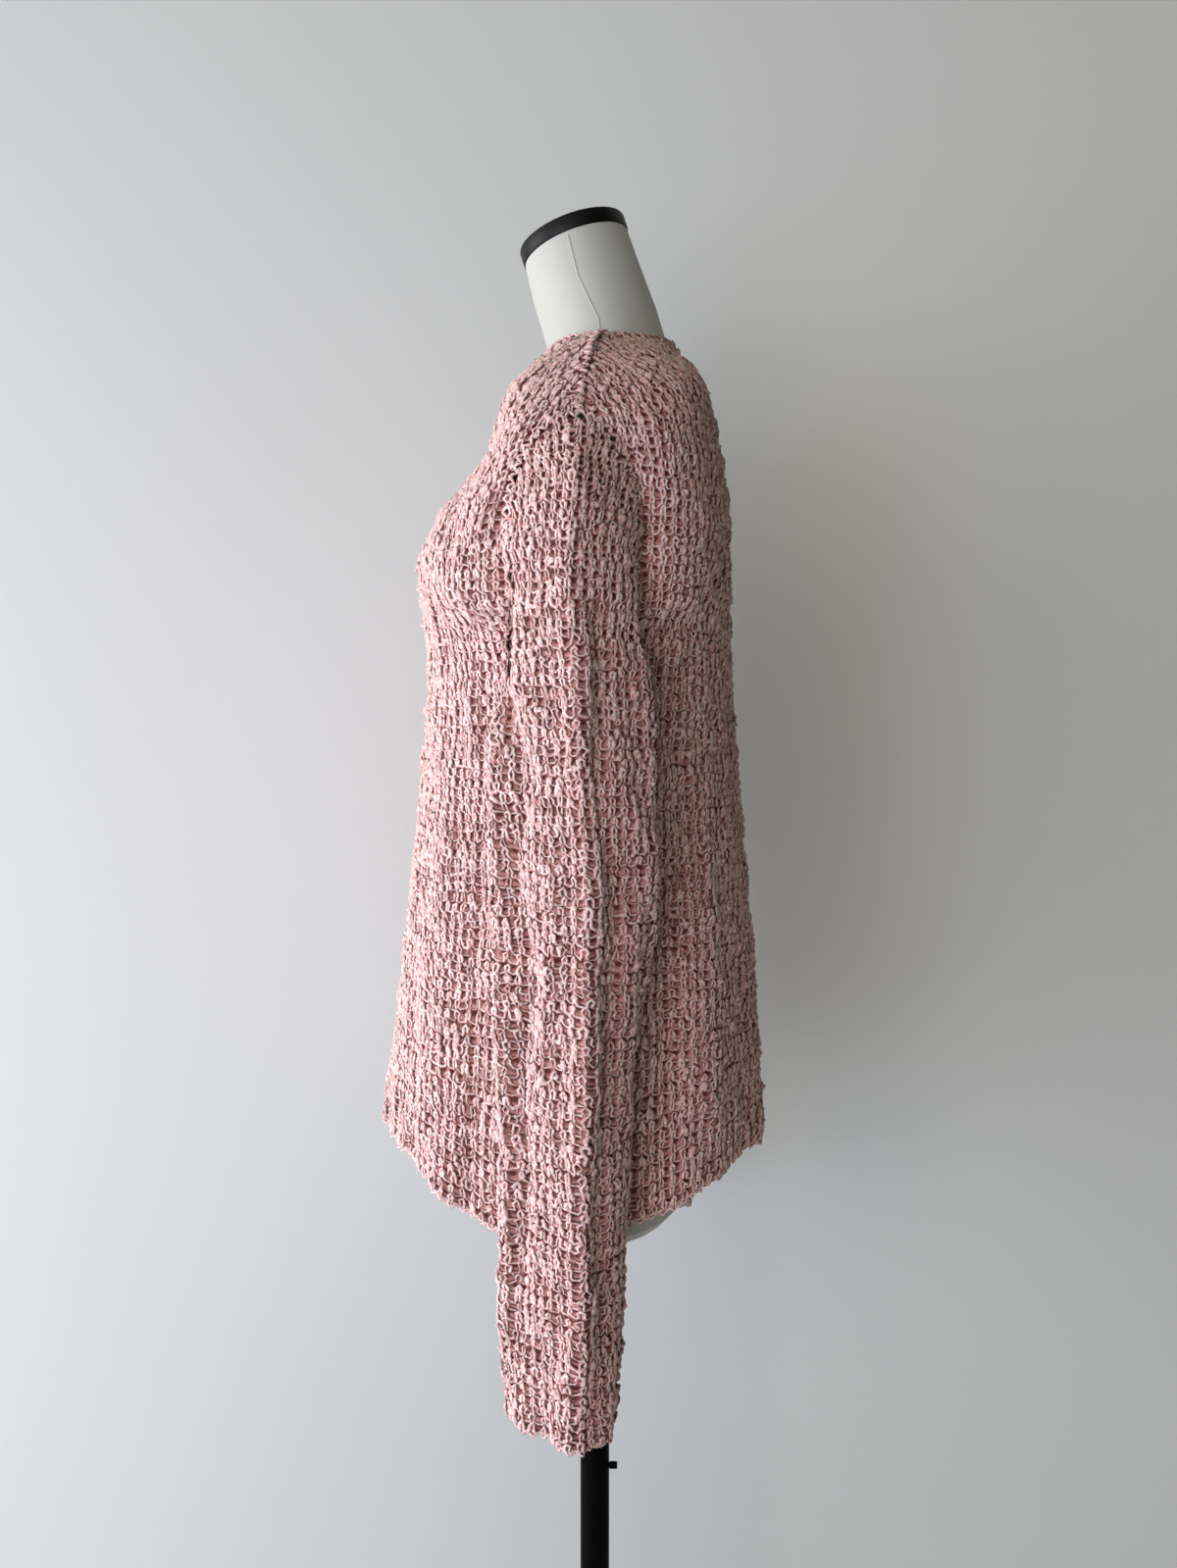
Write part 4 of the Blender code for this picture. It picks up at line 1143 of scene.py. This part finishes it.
# --- operators ---------------------------------------------------------------------------------
class SWEATER_OT_cloth(bpy.types.Operator):
    """Makes the cloth of the four knitted pieces and covers it with its yarn"""

    bl_idname = "sweater.cloth"
    bl_label = "Knitted Pieces"

    def execute(self, context):
        knit = context.scene.sweater_knit
        colors = context.scene.sweater_colors
        # painted shade: the cloth's outer side is the inner side's cotton, painted darker
        painted_shade_outside = knit_ground("purl_ground", colors, colors.ground)
        inside = knit_ground("purl_inside", colors, colors.yarn)
        yarn = slub_yarn(colors)
        for order, name in enumerate(PIECES):
            rng = np.random.default_rng((knit.seed, order))
            surface = surface_of(name, knit, rng)
            drift = self.drift(surface, rng)
            title = name + "_cloth"
            ground = self.ground(title, name, surface, drift)
            cloth = add_piece(title, ground, "torso", "knit", painted_shade_outside, inside)
            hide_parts(name)
            wall = cloth.modifiers.new("cloth thickness", "SOLIDIFY")
            wall.thickness = CLOTH_THICKNESS
            wall.offset = -1.0
            wall.material_offset = 1
            stitches = self.stitches(name, surface, drift, knit, rng, yarn)
        return {"FINISHED"}

    def drift(self, surface, rng):
        """How far the stitches lie aside, in ribs, and up, in rows: for each row and rib."""
        ribs = np.arange(-surface.middle / 2, surface.middle / 2 + 1)
        rows = np.arange(surface.rows)
        aside = DRIFT_ASIDE * waves(rng, ribs[None, :], rows[:, None], DRIFT_ASIDE_OVER)
        aside += ROW_LEAN * (-1.0) ** rows[:, None]
        above = DRIFT_UP * waves(rng, ribs[None, :], rows[:, None], DRIFT_UP_OVER)
        above *= ramp(rows, *DRIFT_UP_STARTS)[:, None]
        return ribs, aside, above

    def ground(self, title, name, surface, drift):
        """The thin cloth under the yarn, about one face for each rib and two rows."""
        places, _, above = drift
        spans = math.ceil((surface.ends[:, -1] - surface.ends[:, 0]).max())
        sunk = np.full(spans + 1, -GROUND_DEPTH)
        lines, mapped = [], []
        for row in [*range(0, surface.rows, 2), surface.rows]:
            ribs = np.linspace(surface.ends[2 * row, 0], surface.ends[2 * row, -1], spans + 1)
            lines.append(surface.at(np.full(spans + 1, row), ribs, sunk))
            raised = np.interp(ribs, places, above[min(row, surface.rows - 1)])
            mapped.append(np.stack([ribs - surface.first_rib, row - raised], axis=1))
        return self.grid_mesh(title, np.array(lines), np.array(mapped), name not in PANEL_SECTIONS)

    def grid_mesh(self, name, grid, mapped, closed):
        """A net of points as a mesh. mapped has the rib and row of each."""
        lines, columns = grid.shape[:2]
        work = bmesh.new()
        layer = work.loops.layers.uv.new("knit")
        bmesh.ops.create_grid(
            work, x_segments=columns - 1, y_segments=lines - 1, size=1.0
        )
        where = {}
        for vertex in work.verts:
            column = round((vertex.co.x + 1.0) / 2.0 * (columns - 1))
            line = round((vertex.co.y + 1.0) / 2.0 * (lines - 1))
            where[vertex] = (line, column)
        for face in work.faces:
            for loop in face.loops:
                loop[layer].uv = mapped[where[loop.vert]]
        for vertex, (line, column) in where.items():
            vertex.co = grid[line, column]
        if closed:
            bmesh.ops.remove_doubles(work, verts=work.verts, dist=MERGE_CLOTH)
        for face in work.faces:
            face.smooth = True
        return finished_mesh(name, work)

    def stitches(self, name, surface, drift, knit, rng, yarn):
        """The piece's yarn, cut into parts that stay light enough."""
        parts = 2 if name in PANEL_SECTIONS else 1
        bounds = np.linspace(0, surface.rows, parts + 1).astype(int)
        ribs, aside, above = drift
        made, curls = [], []
        for part, (first, last) in enumerate(zip(bounds, bounds[1:])):
            strands = []
            for row in range(first, last):
                strands += course(surface, row, knit, rng, (ribs, aside[row], above[row]))
            curls.append(self.curls(strands, knit, rng))
            if part == 0:
                strands += scallops(surface, knit, rng)
            if part == parts - 1:
                strands += seams(name, surface, knit, rng)
            title = f"{name}_yarn_{part + 1}"
            made.append(add_piece(title, yarn_mesh(title, strands), "torso", "knit", yarn))
            face_outward(made[-1].data, surface)
        title = name + "_yarn_curls"
        curls = np.concatenate(curls)
        mesh = nub_mesh(title, curls[:, :3], curls[:, 3], rng)
        face_outward(mesh, surface)
        made.append(add_piece(title, mesh, "torso", "knit", yarn))
        return made

    def curls(self, strands, knit, rng):
        """Places and radii of the curls that stand out of the yarn of some rows."""
        points = np.concatenate([points for points, _ in strands])
        radii = np.concatenate([radii for _, radii in strands])
        chosen = rng.random(len(points)) < knit.curl_share
        points = points[chosen] + rng.normal(0.0, CURL_STRAY, (chosen.sum(), 3))
        sizes = CURL_SIZE * radii[chosen] * rng.uniform(*CURL_SIZES, chosen.sum())
        return np.concatenate([points, sizes[:, None]], axis=1)

    def flat_size(self, surface, knit):
        """Width and length of a piece laid flat, in metres, and the area of its cloth."""
        grid = surface.grid
        width = float(steps_between(grid, 1).sum(axis=1).max())
        length = (len(grid) - 1) / 2 * knit.row_pitch
        one = np.cross(grid[1:, 1:] - grid[:-1, :-1], grid[1:, :-1] - grid[:-1, 1:])
        area = float(np.linalg.norm(one, axis=2).sum() / 2)
        return width, length, min(area, width * length)


class SWEATER_OT_form(bpy.types.Operator):
    """Dresses the form in its jersey cover, seamed at both sides, and finishes its neck's plate"""

    bl_idname = "sweater.form"
    bl_label = "Dress Form"

    def execute(self, context):
        colors = context.scene.sweater_colors
        jersey = stretch_jersey(colors)
        plastic = black_finish("moulded_black_plastic", colors.plastic, roughness=0.45,
                               grain_mm=0.5, strength=0.15, specular=0.25)
        cover = rounded_copy("form", "torso", "form_cover", jersey)
        rounded_copy("neck_cap", "torso", "cap", plastic)
        ridges = yarn_mesh("form_seams", self.seams(cover), sides=5)
        add_piece("form_seams", ridges, "torso", "form_cover", jersey)
        return {"FINISHED"}

    def seams(self, cover):
        """The cover's seams, at the neck and at the hip: thin ridges half sunk into the cover."""
        work = bmesh.new()
        work.from_mesh(cover.data)
        tree = BVHTree.FromBMesh(work)
        heights, places = zip(*COVER_SEAM)
        strands = []
        for side in (-1.0, 1.0):
            for low, high in COVER_SEAM_SHOWN:
                points = []
                for z in np.linspace(low, high, COVER_SEAM_POINTS):
                    start = Vector((side * OUTSIDE_X, np.interp(z, heights, places), z))
                    hit = tree.ray_cast(start, Vector((-side, 0.0, 0.0)))[0]
                    if hit is None:
                        raise RuntimeError(f"the cover's seam misses the form at z = {z:.3f}")
                    points.append(hit)
                strands.append((np.array(points), np.full(len(points), COVER_SEAM_RADIUS)))
        work.free()
        return strands


class SWEATER_OT_stand(bpy.types.Operator):
    """Finishes the stand in black powder coat"""

    bl_idname = "sweater.stand"
    bl_label = "Stand"

    def execute(self, context):
        colors = context.scene.sweater_colors
        coat = black_finish("black_powder_coat", colors.steel, roughness=0.55,
                            grain_mm=0.6, strength=0.25, specular=0.04)
        for name in ("base", "outer_tube", "clamp_screw"):
            rounded_copy(name, "stand", "steel", coat)
        rounded_copy("inner_tube", "pole", "steel", coat)
        return {"FINISHED"}


class SWEATER_OT_stage(bpy.types.Operator):
    """Makes the wall, the floor, the soft light and the camera"""

    bl_idname = "sweater.stage"
    bl_label = "Stage"

    def execute(self, context):
        stage = context.scene.sweater_stage
        colors = context.scene.sweater_colors
        self.wall(stage, colors)
        self.floor(colors)
        for name, values in LAMPS.items():
            self.light(name, getattr(stage, name + "_power"), *values)
        self.room(context, stage)
        context.scene.view_settings.view_transform = "Standard"
        self.camera(context, stage)
        return {"FINISHED"}

    def room(self, context, stage):
        """Light from all round the room, strongest from the window's side."""
        world = bpy.data.worlds.new("soft_room_light")
        world.use_nodes = True
        tree = world.node_tree
        ray = add_node(tree, "TexCoord").outputs["Generated"]
        side = add_node(tree, "VectorMath", {
            "operation": "DOT_PRODUCT", 1: WINDOW_SIDE,
        }, {0: ray})
        level = add_node(tree, "MapRange", {
            "From Min": 0.0, "To Min": stage.room_shade, "To Max": stage.room_light,
        }, {"Value": side.outputs["Value"]})
        # daylight off pale walls, a little warm
        set_node(tree, tree.nodes["Background"], {"Color": (1.0, 0.99, 0.80, 1.0)}, {
            "Strength": level,
        })
        context.scene.world = world

    def plane(self, name, width, height, material, place, turn):
        work = bmesh.new()
        bmesh.ops.create_grid(work, x_segments=1, y_segments=1, size=0.5)
        bmesh.ops.scale(work, vec=(width, height, 1.0), verts=work.verts)
        board = add_object(name, finished_mesh(name, work))
        board.location = place
        board.rotation_euler = turn
        board.data.materials.append(material)

    def wall(self, stage, colors):
        """Matt wall paint. From behind the wall is clear, so that other views look through it."""
        material, tree, shader = new_material("matt_wall_paint")
        set_node(tree, shader, {"Base Color": rgba(colors.wall), "Roughness": 0.9}, {})
        both = add_node(tree, "MixShader", links={
            0: add_node(tree, "NewGeometry").outputs["Backfacing"],
            1: shader,
            2: add_node(tree, "BsdfTransparent"),
        })
        set_node(tree, tree.nodes["Material Output"], {}, {"Surface": both})
        length, height = ROOM_SIZE
        self.plane("wall", length, height, material, (-stage.wall_distance, 0.0, height / 2),
                   (math.pi / 2, 0.0, math.pi / 2))

    def floor(self, colors):
        material, tree, shader = new_material("matt_floor_paint")
        set_node(tree, shader, {"Base Color": rgba(colors.wall), "Roughness": 0.7}, {})
        length = ROOM_SIZE[0]
        self.plane("floor", length, length, material, (0.0, 0.0, 0.0), (0.0, 0.0, 0.0))

    def light(self, name, power, place, target, width, height, color):
        data = bpy.data.lights.new(name, "AREA")
        data.shape = "RECTANGLE"
        data.size = width
        data.size_y = height
        data.energy = power
        data.color = color
        lamp = add_object(name, data)
        lamp.location = place
        direction = np.array(target) - np.array(place)
        flat = math.hypot(direction[0], direction[1])
        lamp.rotation_euler = (
            math.pi / 2 + math.atan2(direction[2], flat),
            0.0,
            math.atan2(direction[1], direction[0]) - math.pi / 2,
        )

    def camera(self, context, stage):
        data = bpy.data.cameras.new("eye")
        data.sensor_width = SENSOR_WIDTH
        data.lens = PHOTO_SIZE[0] / PHOTO_SIZE[1] * SENSOR_WIDTH
        data.clip_start = CLIP_START
        eye = add_object("eye", data)
        eye.location = (stage.eye_distance, EYE_Y, stage.eye_height)
        eye.rotation_euler = (math.pi / 2 - stage.eye_tilt, 0.0, math.pi / 2)
        context.scene.camera = eye


class SWEATER_PT_panel(bpy.types.Panel):
    """Settings and steps of the sweater"""

    bl_idname = "SWEATER_PT_panel"
    bl_label = "Ribbed Sweater"
    bl_space_type = "VIEW_3D"
    bl_region_type = "UI"
    bl_category = "Sweater"

    def draw(self, context):
        for group in ("sweater_knit", "sweater_colors", "sweater_stage"):
            settings = getattr(context.scene, group)
            box = self.layout.box()
            for key in settings.bl_rna.properties.keys():
                if key not in ("rna_type", "name"):
                    box.prop(settings, key)
        for operator in OPERATORS:
            self.layout.operator(operator.bl_idname)


OPERATORS = (SWEATER_OT_stage, SWEATER_OT_cloth, SWEATER_OT_form, SWEATER_OT_stand)
GROUPS = {
    "sweater_knit": SweaterKnit,
    "sweater_colors": SweaterColors,
    "sweater_stage": SweaterStage,
}


def register():
    for cls in (*GROUPS.values(), *OPERATORS, SWEATER_PT_panel):
        bpy.utils.register_class(cls)
    for key, group in GROUPS.items():
        setattr(bpy.types.Scene, key, PointerProperty(type=group))


def unregister():
    for key in GROUPS:
        delattr(bpy.types.Scene, key)
    for cls in reversed((*GROUPS.values(), *OPERATORS, SWEATER_PT_panel)):
        bpy.utils.unregister_class(cls)


def main():
    register()
    bpy.ops.sweater.stage()
    bpy.ops.sweater.cloth()
    bpy.ops.sweater.form()
    bpy.ops.sweater.stand()


if __name__ == "__main__":
    main()
